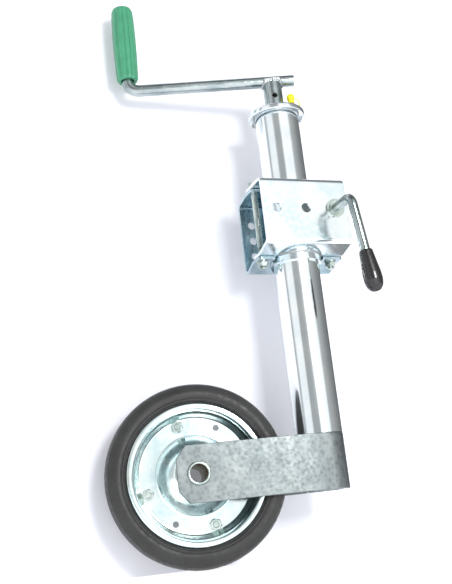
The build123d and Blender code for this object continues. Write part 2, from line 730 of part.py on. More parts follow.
def rim_bolts():
    """Hexagon bolts that hold the two rim halves together."""
    shape = hexagon(RIM_BOLT_AF, RIM_T, RIM_T + RIM_HEAD_T)
    shape += rod(RIM_BOLT_D / 2, -RIM_T - RIM_BOLT_OUT, RIM_T)
    return together([at_axle(spot * shape) for spot in rim_spots(bolt_angles())])


def rim_nuts():
    """Nuts on the back half of the rim."""
    low = -RIM_T - RIM_NUT_T
    shape = hexagon(RIM_BOLT_AF, low, -RIM_T) - rod(RIM_BOLT_D / 2, low, -RIM_T)
    return together([at_axle(spot * shape) for spot in rim_spots(bolt_angles())])


def hub_tube():
    """Tube through the middle of the rim."""
    return at_axle(ring(HUB_TUBE_OD / 2, HUB_TUBE_OD / 2 - HUB_TUBE_WALL, -HUB_TUBE_L / 2, HUB_TUBE_L / 2))


def hub_bushes():
    """Plastic bushes that run on the axle."""
    outer, inner = HUB_TUBE_OD / 2 - HUB_TUBE_WALL, AXLE_OD / 2 + RUN
    long = 18.0
    half = HUB_TUBE_L / 2
    pair = [ring(outer, inner, half - long, half), ring(outer, inner, -half, long - half)]
    return together([at_axle(bush) for bush in pair])


def tyre():
    """Solid rubber tyre held between the rim's lips."""
    half = TYRE_W / 2
    bead = RIM_FACE - RIM_T
    top = WHEEL_D / 2
    lip = LIP_D / 2 + 0.3
    upper = [(top, 8), (top - 1.2, half - 10), (top - 4, half - 4.5), (top - 12, half),
             (LIP_D / 2 + 3, half), (lip, half - 2), (lip, bead), (BASE_D / 2 + 1, bead),
             (BASE_D / 2, bead - 1)]
    lower = [(radius, -side) for radius, side in reversed(upper)]
    return at_axle(revolve_profile(lower + upper))


def build():
    """Makes every node."""
    PARTS.update(
        back_channel=back_channel(), back_saddle=back_saddle(), clamp_nut=clamp_nut(),
        guide_bolts=guide_bolts(), guide_washers=guide_washers(), guide_nuts=guide_nuts(),
        front_channel=front_channel(), front_saddle=front_saddle(),
        clamp_lever=clamp_lever(), lever_washers=lever_washers(), lever_grip=lever_grip(),
        outer_tube=outer_tube(), top_cap=top_cap(), guide_bush=guide_bush(), guide_key=guide_key(),
        grease_nipple=grease_nipple(), cap_tether=cap_tether(), upper_race=upper_race(),
        grease_cap=grease_cap(), thrust_balls=thrust_balls(), ball_cage=ball_cage(),
        lower_race=lower_race(), spindle=spindle(), spindle_collar=spindle_collar(),
        crank_hub=crank_hub(), spring_pin=spring_pin(), crank_rod=crank_rod(), hub_weld=hub_weld(),
        crank_grip=crank_grip(),
        spindle_nut=spindle_nut(), inner_tube=inner_tube(), fork=fork(), axle_tube=axle_tube(),
        axle_washers=axle_washers(),
        rim_front=rim_half(True), rim_back=rim_half(False), rim_bolts=rim_bolts(), rim_nuts=rim_nuts(),
        hub_tube=hub_tube(), hub_bushes=hub_bushes(), tyre=tyre())


def write():
    """Writes one STEP file per node."""
    os.makedirs("parts", exist_ok=True)
    for name, shape in PARTS.items():
        export_step(shape, f"parts/{name}.step")
    print(len(PARTS), "nodes written")


build()
write()
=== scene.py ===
# %% [markdown]
# # Trailer tongue jack
# A jockey wheel for a trailer: a clamp bracket holds a steel column, a crank on top drives a screw
# inside it, and the screw pushes a leg with a forked wheel in or out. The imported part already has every
# size and every joint, so this lesson adds what the eye looks for: pressed edges, weld beads, rubber,
# ribs, and bright zinc that shows the room around it.

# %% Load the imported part
import json
from math import atan2, cos, hypot, pi, radians, sin, tan

import bmesh
import bpy
from mathutils import Matrix, Vector


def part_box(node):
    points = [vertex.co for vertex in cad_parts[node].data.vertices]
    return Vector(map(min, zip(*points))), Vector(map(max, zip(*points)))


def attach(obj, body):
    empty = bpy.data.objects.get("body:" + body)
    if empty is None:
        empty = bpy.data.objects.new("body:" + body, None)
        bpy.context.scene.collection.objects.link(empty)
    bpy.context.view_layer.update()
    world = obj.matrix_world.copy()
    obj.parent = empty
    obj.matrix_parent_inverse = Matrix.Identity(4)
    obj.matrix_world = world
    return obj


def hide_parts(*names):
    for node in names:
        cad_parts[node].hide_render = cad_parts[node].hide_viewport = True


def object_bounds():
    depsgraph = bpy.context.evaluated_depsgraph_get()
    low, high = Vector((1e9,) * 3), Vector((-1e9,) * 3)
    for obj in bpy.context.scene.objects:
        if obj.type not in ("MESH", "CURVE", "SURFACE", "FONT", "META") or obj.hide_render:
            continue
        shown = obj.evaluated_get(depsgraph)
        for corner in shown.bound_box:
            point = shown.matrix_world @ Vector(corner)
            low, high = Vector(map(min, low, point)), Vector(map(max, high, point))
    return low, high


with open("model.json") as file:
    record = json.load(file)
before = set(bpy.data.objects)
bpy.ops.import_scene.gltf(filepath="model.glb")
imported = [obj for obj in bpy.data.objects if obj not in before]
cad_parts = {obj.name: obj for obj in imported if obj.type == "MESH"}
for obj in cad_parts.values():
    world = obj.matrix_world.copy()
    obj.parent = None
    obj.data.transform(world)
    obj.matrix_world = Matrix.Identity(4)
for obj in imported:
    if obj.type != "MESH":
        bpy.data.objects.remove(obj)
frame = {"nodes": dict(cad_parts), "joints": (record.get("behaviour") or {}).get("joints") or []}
cad_low, cad_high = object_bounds()
scene = bpy.context.scene
MM = 0.001
print("CAD box from", [round(v, 4) for v in cad_low], "to", [round(v, 4) for v in cad_high])

# %% [markdown]
# ## Where things are
# Every moving part of the jack has a joint, and the joint says where its axis is. A small function turns
# a joint into a place: its own Z runs along the axis and its own Y points up the column. A turned piece
# can then be drawn flat, as a radius against a height, and laid in that place.

# %% Places on the object
joints = {joint["name"]: joint for joint in frame["joints"]}
UP = Vector((0, 0, 1))


def place_at(origin, axis, upright=UP):
    """A matrix with its origin at a point, Z along an axis and Y as near to upright as it can be."""
    z = Vector(axis).normalized()
    y = (Vector(upright) - z * z.dot(Vector(upright))).normalized()
    turn = Matrix((y.cross(z), y, z)).transposed()
    return Matrix.Translation(Vector(origin)) @ turn.to_4x4()


wheel_place = place_at(joints["wheel_spin"]["pos_m"], joints["wheel_spin"]["axis"])
clamp_place = place_at(joints["lever_turn"]["pos_m"], joints["lever_turn"]["axis"])
tube_low, tube_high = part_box("outer_tube")
tube_x = (tube_low.x + tube_high.x) / 2
tube_y = (tube_low.y + tube_high.y) / 2
tube_radius = (tube_high.x - tube_low.x) / 2
crank_heading = atan2(joints["grip_spin"]["pos_m"][1] - tube_y, joints["grip_spin"]["pos_m"][0] - tube_x)
print("column axis at", round(tube_x, 4), round(tube_y, 4), "radius", round(tube_radius, 4))

# %% [markdown]
# ## Turned pieces
# The rim, the tyre, the cap and the grips are all round, so one helper spins an outline of radius and
# height points into a skin. A point on the axis becomes a single pole, which keeps the ends closed.
# A second helper rounds the corners of an outline with true arcs, as a press or a mould does.

# %% Outline and turning helpers
def softened(points, radius, steps=5, loop=True):
    """Rounds the corners of an outline; radius is one value or one for each corner."""
    radii = radius if isinstance(radius, (list, tuple)) else [radius] * len(points)
    count = len(points)
    out = []
    for index, point in enumerate(points):
        here = Vector(point)
        ends = not loop and index in (0, count - 1)
        before = Vector(points[index - 1]) - here
        after = Vector(points[(index + 1) % count]) - here
        if ends or radii[index] <= 0 or min(before.length, after.length) < 1e-6:
            out.append(tuple(here))
            continue
        half = before.angle(after) / 2
        if half > radians(88):
            out.append(tuple(here))
            continue
        back = min(radii[index] / tan(half), 0.48 * before.length, 0.48 * after.length)
        true_radius = back * tan(half)
        centre = here + (before.normalized() + after.normalized()).normalized() * (true_radius / sin(half))
        start = here + before.normalized() * back - centre
        stop = here + after.normalized() * back - centre
        sweep = start.angle(stop)
        for step in range(steps + 1):
            share = step / steps
            arm = start * (sin((1 - share) * sweep) / sin(sweep)) + stop * (sin(share * sweep) / sin(sweep))
            out.append(tuple(centre + arm))
    return out


def turned_mesh(name, outline, place, segments=128, loop=True):
    """Spins an outline of (radius, height) points in millimetres about Z and lays it in a place."""
    bm = bmesh.new()
    rings = []
    for radius, height in outline:
        if radius < 1e-6:
            rings.append([bm.verts.new((0, 0, height * MM))])
            continue
        ring = []
        for step in range(segments):
            angle = 2 * pi * step / segments
            ring.append(bm.verts.new((radius * MM * cos(angle), radius * MM * sin(angle), height * MM)))
        rings.append(ring)
    pairs = list(zip(rings, rings[1:])) + ([(rings[-1], rings[0])] if loop else [])
    for one, two in pairs:
        for step in range(segments):
            after = (step + 1) % segments
            corners = [one[step % len(one)], one[after % len(one)],
                       two[after % len(two)], two[step % len(two)]]
            corners = list(dict.fromkeys(corners))
            if len(corners) > 2:
                bm.faces.new(corners)
    bmesh.ops.recalc_face_normals(bm, faces=bm.faces)
    mesh = bpy.data.meshes.new(name)
    bm.to_mesh(mesh)
    bm.free()
    mesh.transform(place)
    return mesh


def add_object(name, mesh, *finishes, crease=35):
    """Links a mesh as an object with its finishes, smooth except at creases."""
    obj = bpy.data.objects.new(name, mesh)
    scene.collection.objects.link(obj)
    mesh.materials.clear()
    for finish in finishes:
        mesh.materials.append(finish)
    mesh.shade_smooth()
    mesh.set_sharp_from_angle(angle=radians(crease))
    return obj


def declare(obj, body, slot, *nodes):
    """Says which body a piece rides on and hides the CAD nodes that it stands for; slot is not used."""
    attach(obj, body)
    if nodes:
        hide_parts(*nodes)
    print(obj.name, "rides on", body, "with", len(obj.data.polygons), "faces")


# %% [markdown]
# ## Finishes
# Almost the whole jack is steel under bright zinc. Zinc is never even: the plating bath leaves cloudy
# patches with a blue tint, the sheet keeps fine roller lines, and handling leaves small dents. Each of
# these is a noise texture read in Object coordinates, one on colour, one on roughness and one on height.

# %% Material helpers
def new_finish(name, metallic, roughness, colour):
    """A material with its plain values set on the shader."""
    finish = bpy.data.materials.new(name)
    finish.use_nodes = True
    shader = finish.node_tree.nodes["Principled BSDF"]
    shader.inputs["Metallic"].default_value = metallic
    shader.inputs["Roughness"].default_value = roughness
    shader.inputs["Base Color"].default_value = (*colour, 1)
    return finish, finish.node_tree, shader


def add_node(tree, kind, **settings):
    """Adds a node and sets its inputs and properties by name."""
    node = tree.nodes.new(kind)
    for key, value in settings.items():
        label = key.replace("_", " ")
        if label in node.inputs:
            node.inputs[label].default_value = value
        else:
            setattr(node, key, value)
    return node


def grain(tree, size, stretch=(1, 1, 1), detail=4.0, **settings):
    """A noise pattern whose patches are about a size in metres, stretched along an axis."""
    where = add_node(tree, "ShaderNodeTexCoord")
    mapping = add_node(tree, "ShaderNodeMapping", Scale=stretch)
    noise = add_node(tree, "ShaderNodeTexNoise", Scale=1 / size, Detail=detail, **settings)
    tree.links.new(where.outputs["Object"], mapping.inputs["Vector"])
    tree.links.new(mapping.outputs["Vector"], noise.inputs["Vector"])
    return noise.outputs["Fac"]


def ramp(tree, factor, stops):
    """A colour ramp over a pattern, with stops of (position, colour)."""
    node = add_node(tree, "ShaderNodeValToRGB")
    band = node.color_ramp
    while len(band.elements) < len(stops):
        band.elements.new(0.5)
    for element, (position, colour) in zip(band.elements, stops):
        element.position = position
        element.color = (*colour, 1) if len(colour) == 3 else colour
    tree.links.new(factor, node.inputs["Fac"])
    return node.outputs["Color"]


def between(tree, factor, low, high):
    """Stretches a pattern to run between two values."""
    node = add_node(tree, "ShaderNodeMapRange")
    node.inputs["From Min"].default_value = 0.3
    node.inputs["From Max"].default_value = 0.7
    node.inputs["To Min"].default_value = low
    node.inputs["To Max"].default_value = high
    tree.links.new(factor, node.inputs["Value"])
    return node.outputs["Result"]


def raise_surface(tree, shader, *layers):
    """Stacks height patterns, each with a depth in metres, on a shader's normal."""
    normal = None
    for height, depth in layers:
        bump = add_node(tree, "ShaderNodeBump", Strength=1.0, Distance=depth)
        tree.links.new(height, bump.inputs["Height"])
        if normal:
            tree.links.new(normal, bump.inputs["Normal"])
        normal = bump.outputs["Normal"]
    tree.links.new(normal, shader.inputs["Normal"])


# %% Zinc and galvanised steel
def zinc(name, roughness, wave, tint, lines=(1, 1, 1)):
    """Plated or bare steel with a cloudy tint, fine lines and shallow waves in the sheet."""
    finish, tree, shader = new_finish(name, 1.0, roughness, tint[1])
    clouds = grain(tree, 0.035, detail=3)
    tree.links.new(ramp(tree, clouds, [(0.36, tint[0]), (0.62, tint[1])]), shader.inputs["Base Color"])
    wear = grain(tree, 0.006, stretch=lines, detail=6)
    tree.links.new(between(tree, wear, roughness * 0.7, roughness * 1.5), shader.inputs["Roughness"])
    raise_surface(tree, shader, (grain(tree, 0.03, detail=1), wave), (wear, 0.00003))
    return finish


def galvanised_steel():
    """Hot-dip coat: grey spangle, runs down the sheet and a soft sheen."""
    finish, tree, shader = new_finish("galvanised_steel", 1.0, 0.34, (0.7, 0.73, 0.74))
    where = add_node(tree, "ShaderNodeTexCoord")
    spangle = add_node(tree, "ShaderNodeTexVoronoi", Scale=170.0)
    tree.links.new(where.outputs["Object"], spangle.inputs["Vector"])
    greys = [(0.05, (0.17, 0.19, 0.19)), (0.6, (0.25, 0.275, 0.275))]
    flakes = ramp(tree, spangle.outputs["Distance"], greys)
    drips = grain(tree, 0.02, stretch=(1, 1, 0.5), detail=5)
    clouds = ramp(tree, drips, [(0.32, (0.72, 0.75, 0.76)), (0.66, (1, 1, 1))])
    mix = add_node(tree, "ShaderNodeMix", data_type="RGBA", blend_type="MULTIPLY")
    mix.inputs["Factor"].default_value = 1.0
    tree.links.new(flakes, mix.inputs["A"])
    tree.links.new(clouds, mix.inputs["B"])
    tree.links.new(mix.outputs["Result"], shader.inputs["Base Color"])
    wear = grain(tree, 0.004, detail=6)
    tree.links.new(between(tree, wear, 0.38, 0.55), shader.inputs["Roughness"])
    raise_surface(tree, shader, (grain(tree, 0.012, detail=3), 0.0004), (wear, 0.00008))
    return finish


zinc_sheet = zinc("zinc_sheet", roughness=0.16, wave=0.00012,
                  tint=((0.74, 0.85, 0.9), (0.9, 0.94, 0.94)))
zinc_tube = zinc("zinc_tube", roughness=0.12, wave=0.00006, lines=(1, 1, 0.05),
                 tint=((0.82, 0.88, 0.91), (0.93, 0.96, 0.96)))
zinc_rim = zinc("zinc_rim", roughness=0.14, wave=0.00004,
                tint=((0.68, 0.84, 0.86), (0.88, 0.94, 0.92)))
# Painted shade: the back channel and back collar get the sheet's zinc made far darker and bluer, standing in
# for the shade they sit in behind the front channel.
zinc_back_painted_shade = zinc("zinc_back_painted_shade", roughness=0.2, wave=0.00012,
                 tint=((0.32, 0.44, 0.49), (0.5, 0.6, 0.64)))
zinc_bar = zinc("zinc_bar", roughness=0.2, wave=0.0001,
                tint=((0.28, 0.34, 0.35), (0.44, 0.49, 0.49)))
zinc_small = zinc("zinc_small", roughness=0.22, wave=0.00005,
                  tint=((0.36, 0.43, 0.41), (0.56, 0.63, 0.59)))
galvanised = galvanised_steel()
print("zinc and galvanised finishes made")


# %% Rubber, plastics and grease
def moulded(name, colour, shade, roughness, size, depth, gloss=0.0):
    """A plastic or rubber with a mottled colour, uneven gloss and a grained skin."""
    finish, tree, shader = new_finish(name, 0.0, roughness, colour)
    tree.links.new(ramp(tree, grain(tree, size * 6, detail=5), [(0.3, shade), (0.7, colour)]),
                   shader.inputs["Base Color"])
    skin = grain(tree, size, detail=6)
    tree.links.new(between(tree, skin, roughness * 0.8, roughness * 1.3), shader.inputs["Roughness"])
    shader.inputs["Coat Weight"].default_value = gloss
    shader.inputs["Coat Roughness"].default_value = 0.12
    raise_surface(tree, shader, (skin, depth))
    return finish


tyre_rubber = moulded("tyre_rubber", (0.027, 0.027, 0.026), (0.017, 0.017, 0.016),
                      roughness=0.5, size=0.004, depth=0.00012)
green_plastic = moulded("green_plastic", (0.055, 0.3, 0.16), (0.04, 0.25, 0.13),
                        roughness=0.32, size=0.002, depth=0.00002, gloss=0.2)
black_vinyl = moulded("black_vinyl", (0.014, 0.012, 0.014), (0.008, 0.007, 0.008),
                      roughness=0.26, size=0.003, depth=0.00002, gloss=0.3)
yellow_plastic = moulded("yellow_plastic", (0.9, 0.82, 0.02), (0.86, 0.74, 0.01),
                         roughness=0.35, size=0.002, depth=0.00002)
bush_plastic = moulded("bush_plastic", (0.78, 0.76, 0.7), (0.7, 0.68, 0.6),
                       roughness=0.45, size=0.002, depth=0.00002)
greased_steel = zinc("greased_steel", roughness=0.3, wave=0.0001,
                     tint=((0.22, 0.19, 0.11), (0.42, 0.37, 0.24)))
# Painted shade: the spring pin is near-black steel, so that its cross hole in the crank hub reads as a dark
# hole.
pin_steel_painted_shade = zinc("pin_steel_painted_shade", roughness=0.35, wave=0.00002,
                  tint=((0.03, 0.03, 0.03), (0.1, 0.1, 0.09)))
bearing_steel = zinc("bearing_steel", roughness=0.1, wave=0.00002,
                     tint=((0.62, 0.62, 0.62), (0.72, 0.72, 0.72)))
nipple_brass = zinc("nipple_brass", roughness=0.22, wave=0.00002,
                    tint=((0.62, 0.5, 0.2), (0.8, 0.68, 0.36)))
weld_metal = zinc("weld_metal", roughness=0.3, wave=0.0002,
                  tint=((0.3, 0.33, 0.33), (0.55, 0.58, 0.58)))
print("rubber, plastic and grease finishes made")

# %% [markdown]
# ## Finishes for the CAD parts
# Parts whose CAD shape is already right only need their finish. Each node's material slots are filled
# from one table of finishes, so nothing is left in the plain colour of the pack.

# %% Give each CAD node its finish
node_finishes = {
    zinc_sheet: ["front_channel", "front_saddle"],
    zinc_back_painted_shade: ["back_channel", "back_saddle"],
    zinc_tube: ["outer_tube", "inner_tube", "hub_tube", "top_cap"],
    zinc_rim: ["rim_front", "rim_back"],
    zinc_bar: ["crank_rod", "crank_hub", "clamp_lever", "hub_weld"],
    zinc_small: ["clamp_nut", "guide_bolts", "guide_washers", "guide_nuts", "lever_washers", "rim_bolts",
                 "rim_nuts", "axle_washers", "axle_tube"],
    galvanised: ["fork"],
    greased_steel: ["spindle", "spindle_collar", "spindle_nut", "guide_key"],
    # The spring pin's near-black finish is painted shade for its hole.
    pin_steel_painted_shade: ["spring_pin"],
    bearing_steel: ["upper_race", "lower_race", "thrust_balls", "ball_cage"],
    nipple_brass: ["grease_nipple"],
    bush_plastic: ["guide_bush", "hub_bushes"],
    tyre_rubber: ["tyre"],
    green_plastic: ["crank_grip"],
    black_vinyl: ["lever_grip"],
    yellow_plastic: ["grease_cap", "cap_tether"],
}
for finish, names in node_finishes.items():
    for name in names:
        node = frame["nodes"][name]
        for slot_index in range(len(node.material_slots)):
            node.material_slots[slot_index].material = finish
print(sum(len(names) for names in node_finishes.values()), "of", len(frame["nodes"]), "nodes have a finish")

# %% [markdown]
# ## Tyre
# The tyre is solid rubber, moulded in one piece. Its side has a rib next to the rim, a crowned band and
# a moulding step at the shoulder, and two grooves run round the tread. All of this is one outline
# spun about the axle, so the joint's place is all that the shape needs.

# %% Tyre
TYRE_SIDE = 28.0
TYRE_TOP = 110.5
RIM_SEAT = 78.0
half_tyre = [(TYRE_TOP, 0), (TYRE_TOP, 6.5), (109.0, 7.2), (109.0, 9.2), (110.2, 10), (109.2, 17.5),
             (106.8, 23.0), (105.6, 23.4), (104.9, 24.9), (98.5, 27.6), (95.0, TYRE_SIDE), (91.8, 27.4),
             (90.8, 26.5), (89.8, 27.8), (88.4, 27.5), (87.1, 25.2), (86.9, 22.8), (79, 22.8),
             (RIM_SEAT, 21.8)]
tyre_radii = [0, 0.4, 0.3, 0.3, 0.8, 5, 1.5, 0.5, 0.7, 8, 5, 1, 0.7, 0.9, 1.2, 0.4, 0.3, 0.4, 0.3]
upper_half = softened(half_tyre, tyre_radii, steps=4, loop=False)
lower_half = [(radius, -height) for radius, height in reversed(upper_half[1:])]
tyre_mesh = turned_mesh("tyre_skin", upper_half + lower_half, wheel_place, segments=160)
declare(add_object("tyre_skin", tyre_mesh, tyre_rubber, crease=50), "wheel", "tyre_rubber", "tyre")

# %% [markdown]
# ## Rim halves
# Each half of the rim is pressed from one sheet: a rolled lip, a deep groove wall, a flat ring for the
# bolts and a dome up to the hub. A press can't make a sharp corner, so every corner of the outline is
# an arc, and the back of the sheet is the same line moved by the sheet's thickness.

# %% Rim halves
SHEET_T = 2.5
HUB_R = 18.05
press_line = [(HUB_R, 22), (27.5, 22), (47.5, 3.4), (49.5, SHEET_T), (69.5, SHEET_T), (71, 3.6), (75.3, 8.5),
              (75.5, 21.5), (78.5, 26.2), (84, 26.2), (85.5, 23.8)]
press_radii = [0, 7, 6, 2, 2.5, 1.5, 5, 4, 3, 2.2, 0]
HOLE_CIRCLE = 62.5
DRAIN_R = 3.75
DRAIN_ANGLES = (61.5, 241.5)
DRILL_REACH = 15


def offset_line(line, distance):
    """The same line moved sideways, to its right along the way that it runs."""
    out = []
    for index, (x, y) in enumerate(line):
        x0, y0 = line[max(index - 1, 0)]
        x1, y1 = line[min(index + 1, len(line) - 1)]
        run = hypot(x1 - x0, y1 - y0)
        out.append((x + (y1 - y0) / run * distance, y - (x1 - x0) / run * distance))
    return out


def cut_holes(obj, spots, radius, reach):
    """Bores round holes through a piece, each along Z of its spot."""
    for spot in spots:
        bm = bmesh.new()
        bmesh.ops.create_cone(bm, cap_ends=True, segments=32, radius1=radius * MM, radius2=radius * MM,
                              depth=2 * reach * MM, matrix=spot)
        drill_mesh = bpy.data.meshes.new("drill")
        bm.to_mesh(drill_mesh)
        bm.free()
        drill = bpy.data.objects.new("drill", drill_mesh)
        scene.collection.objects.link(drill)
        cut = obj.modifiers.new("cut", "BOOLEAN")
        cut.operation = "DIFFERENCE"
        cut.object = drill
        cut.solver = "EXACT"
        settled(obj)
        bpy.data.objects.remove(drill)


def settled(obj):
    """Applies a piece's modifiers and keeps the result as its plain mesh."""
    depsgraph = bpy.context.evaluated_depsgraph_get()
    mesh = bpy.data.meshes.new_from_object(obj.evaluated_get(depsgraph), depsgraph=depsgraph)
    obj.modifiers.clear()
    obj.data = mesh


def wheel_spot(radius, angle):
    """A place on the wheel, by its radius and its angle from the wheel's own X."""
    turn = Matrix.Rotation(radians(angle), 4, "Z")
    return wheel_place @ turn @ Matrix.Translation((radius * MM, 0, 0))


face_line = softened(press_line, press_radii, steps=6, loop=False)
rim_outline = face_line + offset_line(face_line, SHEET_T)[::-1]
for side, name in ((1, "rim_front"), (-1, "rim_back")):
    outline = [(radius, side * height) for radius, height in rim_outline]
    rim = add_object(name + "_pressing", turned_mesh(name, outline, wheel_place), zinc_rim, crease=50)
    cut_holes(rim, [wheel_spot(HOLE_CIRCLE, angle) for angle in DRAIN_ANGLES], DRAIN_R, DRILL_REACH)
    declare(rim, "wheel", "zinc_plate", name)

# %% [markdown]
# ## Bolts and nuts
# A hexagon head is a prism whose corners are turned off by a cone, with a shallow dish in its top. The
# mesh takes its radius from the angle, so the cone leaves the curved edges that real heads have. One
# geometry node tree then places copies round a circle, for the rim's four bolts and for their nuts. The
# bracket's bolts stand beside the column, so a plain move sets them.

# %% Hexagon head and thread
CONE_FROM = 0.95
CONE_SLOPE = 0.55
DISH_RIM = 0.62
DISH_FLOOR = 0.5


def hexagon_mesh(across_flats, bottom, top, dish=0.0, steps=48):
    """A hexagon head between two heights in millimetres, with a dish in its top."""
    flat = across_flats / 2
    bm = bmesh.new()
    columns = []
    for step in range(steps):
        angle = 2 * pi * step / steps
        corner = flat / cos((angle % (pi / 3)) - pi / 6)
        drop = (corner - CONE_FROM * flat) * CONE_SLOPE
        row = [(corner - 0.1, bottom), (corner, bottom + 0.2), (corner, top - drop), (CONE_FROM * flat, top),
               (DISH_RIM * flat, top), (DISH_FLOOR * flat, top - dish)]
        columns.append([bm.verts.new((r * cos(angle) * MM, r * sin(angle) * MM, z * MM)) for r, z in row])
    foot, crown = bm.verts.new((0, 0, bottom * MM)), bm.verts.new((0, 0, (top - dish) * MM))
    for one, two in zip(columns, columns[1:] + columns[:1]):
        for low in range(len(one) - 1):
            bm.faces.new((one[low], two[low], two[low + 1], one[low + 1]))
        bm.faces.new((foot, two[0], one[0]))
        bm.faces.new((crown, one[-1], two[-1]))
    mesh = bpy.data.meshes.new("hexagon")
    bm.to_mesh(mesh)
    bm.free()
    return mesh


def thread_outline(radius, low, high, pitch=1.25, depth=0.65):
    """A bolt's shank as an outline from the axis, with a groove for each turn of its thread."""
    outline = [(0, low), (radius - 0.9, low), (radius - 0.3, low + 0.5)]
    height = low + 0.5
    while height + pitch < high:
        outline += [(radius, height + 0.3 * pitch), (radius, height + 0.5 * pitch)]
        outline += [(radius - depth, height + pitch)]
        height += pitch
    return outline + [(radius, high), (0, high)]


def joined(name, meshes):
    """One mesh from several."""
    bm = bmesh.new()
    for mesh in meshes:
        bm.from_mesh(mesh)
    out = bpy.data.meshes.new(name)
    bm.to_mesh(out)
    bm.free()
    return out


def thread_mesh(radius, low, high):
    """A closed shank with thread grooves."""
    return turned_mesh("thread", thread_outline(radius, low, high), Matrix(), segments=32, loop=False)


# %% Node tree that sets fasteners round a circle
def add_input(tree, label, kind, value=None):
    """Gives a geometry tree a named input."""
    socket = tree.interface.new_socket(label, in_out="INPUT", socket_type=kind)
    if value is not None:
        socket.default_value = value


def circle_of_fasteners():
    """Tree: copies of one fastener on a circle, each turned with its place on it."""
    tree = bpy.data.node_groups.new("circle_of_fasteners", "GeometryNodeTree")
    add_input(tree, "Fastener", "NodeSocketObject")
    add_input(tree, "Count", "NodeSocketInt", 4)
    add_input(tree, "Circle radius", "NodeSocketFloat", 0.05)
    add_input(tree, "First angle", "NodeSocketFloat", 0.0)
    add_input(tree, "Finish", "NodeSocketMaterial")
    tree.interface.new_socket("Geometry", in_out="OUTPUT", socket_type="NodeSocketGeometry")
    given = tree.nodes.new("NodeGroupInput")
    result = tree.nodes.new("NodeGroupOutput")
    source = tree.nodes.new("GeometryNodeObjectInfo")
    row = tree.nodes.new("GeometryNodeMeshLine")
    row.inputs["Offset"].default_value = (0, 0, 0)
    number = tree.nodes.new("GeometryNodeInputIndex")
    share = add_node(tree, "ShaderNodeMath", operation="DIVIDE")
    angle = add_node(tree, "ShaderNodeMath", operation="MULTIPLY_ADD")
    angle.inputs[1].default_value = 2 * pi
    turn = tree.nodes.new("ShaderNodeCombineXYZ")
    across = add_node(tree, "ShaderNodeMath", operation="COSINE")
    upward = add_node(tree, "ShaderNodeMath", operation="SINE")
    heading = tree.nodes.new("ShaderNodeCombineXYZ")
    spot = add_node(tree, "ShaderNodeVectorMath", operation="SCALE")
    spread = tree.nodes.new("GeometryNodeSetPosition")
    copies = tree.nodes.new("GeometryNodeInstanceOnPoints")
    real = tree.nodes.new("GeometryNodeRealizeInstances")
    coat = tree.nodes.new("GeometryNodeSetMaterial")
    link = tree.links.new
    link(given.outputs["Fastener"], source.inputs["Object"])
    link(given.outputs["Count"], row.inputs["Count"])
    link(number.outputs["Index"], share.inputs[0])
    link(given.outputs["Count"], share.inputs[1])
    link(share.outputs["Value"], angle.inputs[0])
    link(given.outputs["First angle"], angle.inputs[2])
    link(angle.outputs["Value"], turn.inputs["Z"])
    link(angle.outputs["Value"], across.inputs[0])
    link(angle.outputs["Value"], upward.inputs[0])
    link(across.outputs["Value"], heading.inputs["X"])
    link(upward.outputs["Value"], heading.inputs["Y"])
    link(heading.outputs["Vector"], spot.inputs[0])
    link(given.outputs["Circle radius"], spot.inputs["Scale"])
    link(row.outputs["Mesh"], spread.inputs["Geometry"])
    link(spot.outputs["Vector"], spread.inputs["Position"])
    link(spread.outputs["Geometry"], copies.inputs["Points"])
    link(source.outputs["Geometry"], copies.inputs["Instance"])
    link(turn.outputs["Vector"], copies.inputs["Rotation"])
    link(copies.outputs["Instances"], real.inputs["Geometry"])
    link(real.outputs["Geometry"], coat.inputs["Geometry"])
    link(given.outputs["Finish"], coat.inputs["Material"])
    link(coat.outputs["Geometry"], result.inputs["Geometry"])
    return tree


def grown(name, tree, values, start_mesh=None):
    """Runs a geometry tree on a start mesh and keeps what it makes as a plain mesh."""
    carrier = bpy.data.objects.new(name, start_mesh or bpy.data.meshes.new(name))
    scene.collection.objects.link(carrier)
    modifier = carrier.modifiers.new(name, "NODES")
    modifier.node_group = tree
    for item in tree.interface.items_tree:
        if item.in_out == "INPUT" and item.name in values:
            modifier[item.identifier] = values[item.name]
    settled(carrier)
    mesh = carrier.data
    bpy.data.objects.remove(carrier)
    return mesh


fastener_tree = circle_of_fasteners()


def set_of_fasteners(name, fastener_mesh, place, count, circle_radius, first_angle, finish):
    """A circle of fasteners as one piece, laid in a place."""
    source = bpy.data.objects.new(name + "_source", fastener_mesh)
    scene.collection.objects.link(source)
    values = {"Fastener": source, "Count": count, "Circle radius": circle_radius * MM,
              "First angle": radians(first_angle), "Finish": finish}
    mesh = grown(name, fastener_tree, values)
    bpy.data.objects.remove(source)
    mesh.transform(place)
    return add_object(name, mesh, finish, crease=25)


# %% Rim bolts and nuts
RIM_BOLTS = 4
RIM_BOLT_ANGLE = 16.5
BOLT_FLATS = 13.0
BOLT_SHANK = 4.0
BOLT_DISH = 0.7
BOLT_SEAT = 2.6
rim_head = hexagon_mesh(BOLT_FLATS, BOLT_SEAT, 8.0, dish=BOLT_DISH)
rim_bolt = joined("rim_bolt", [rim_head, thread_mesh(BOLT_SHANK, -11.5, 2.8)])
rim_nut = hexagon_mesh(BOLT_FLATS, BOLT_SEAT, 9.0)
rim_bolts = set_of_fasteners("rim_bolt_set", rim_bolt, wheel_place, RIM_BOLTS, HOLE_CIRCLE, RIM_BOLT_ANGLE,
                             zinc_small)
declare(rim_bolts, "wheel", "zinc_plate", "rim_bolts")
behind = wheel_place @ Matrix.Rotation(pi, 4, "X")
rim_nuts = set_of_fasteners("rim_nut_set", rim_nut, behind, RIM_BOLTS, HOLE_CIRCLE, -RIM_BOLT_ANGLE,
                            zinc_small)
declare(rim_nuts, "wheel", "zinc_plate", "rim_nuts")

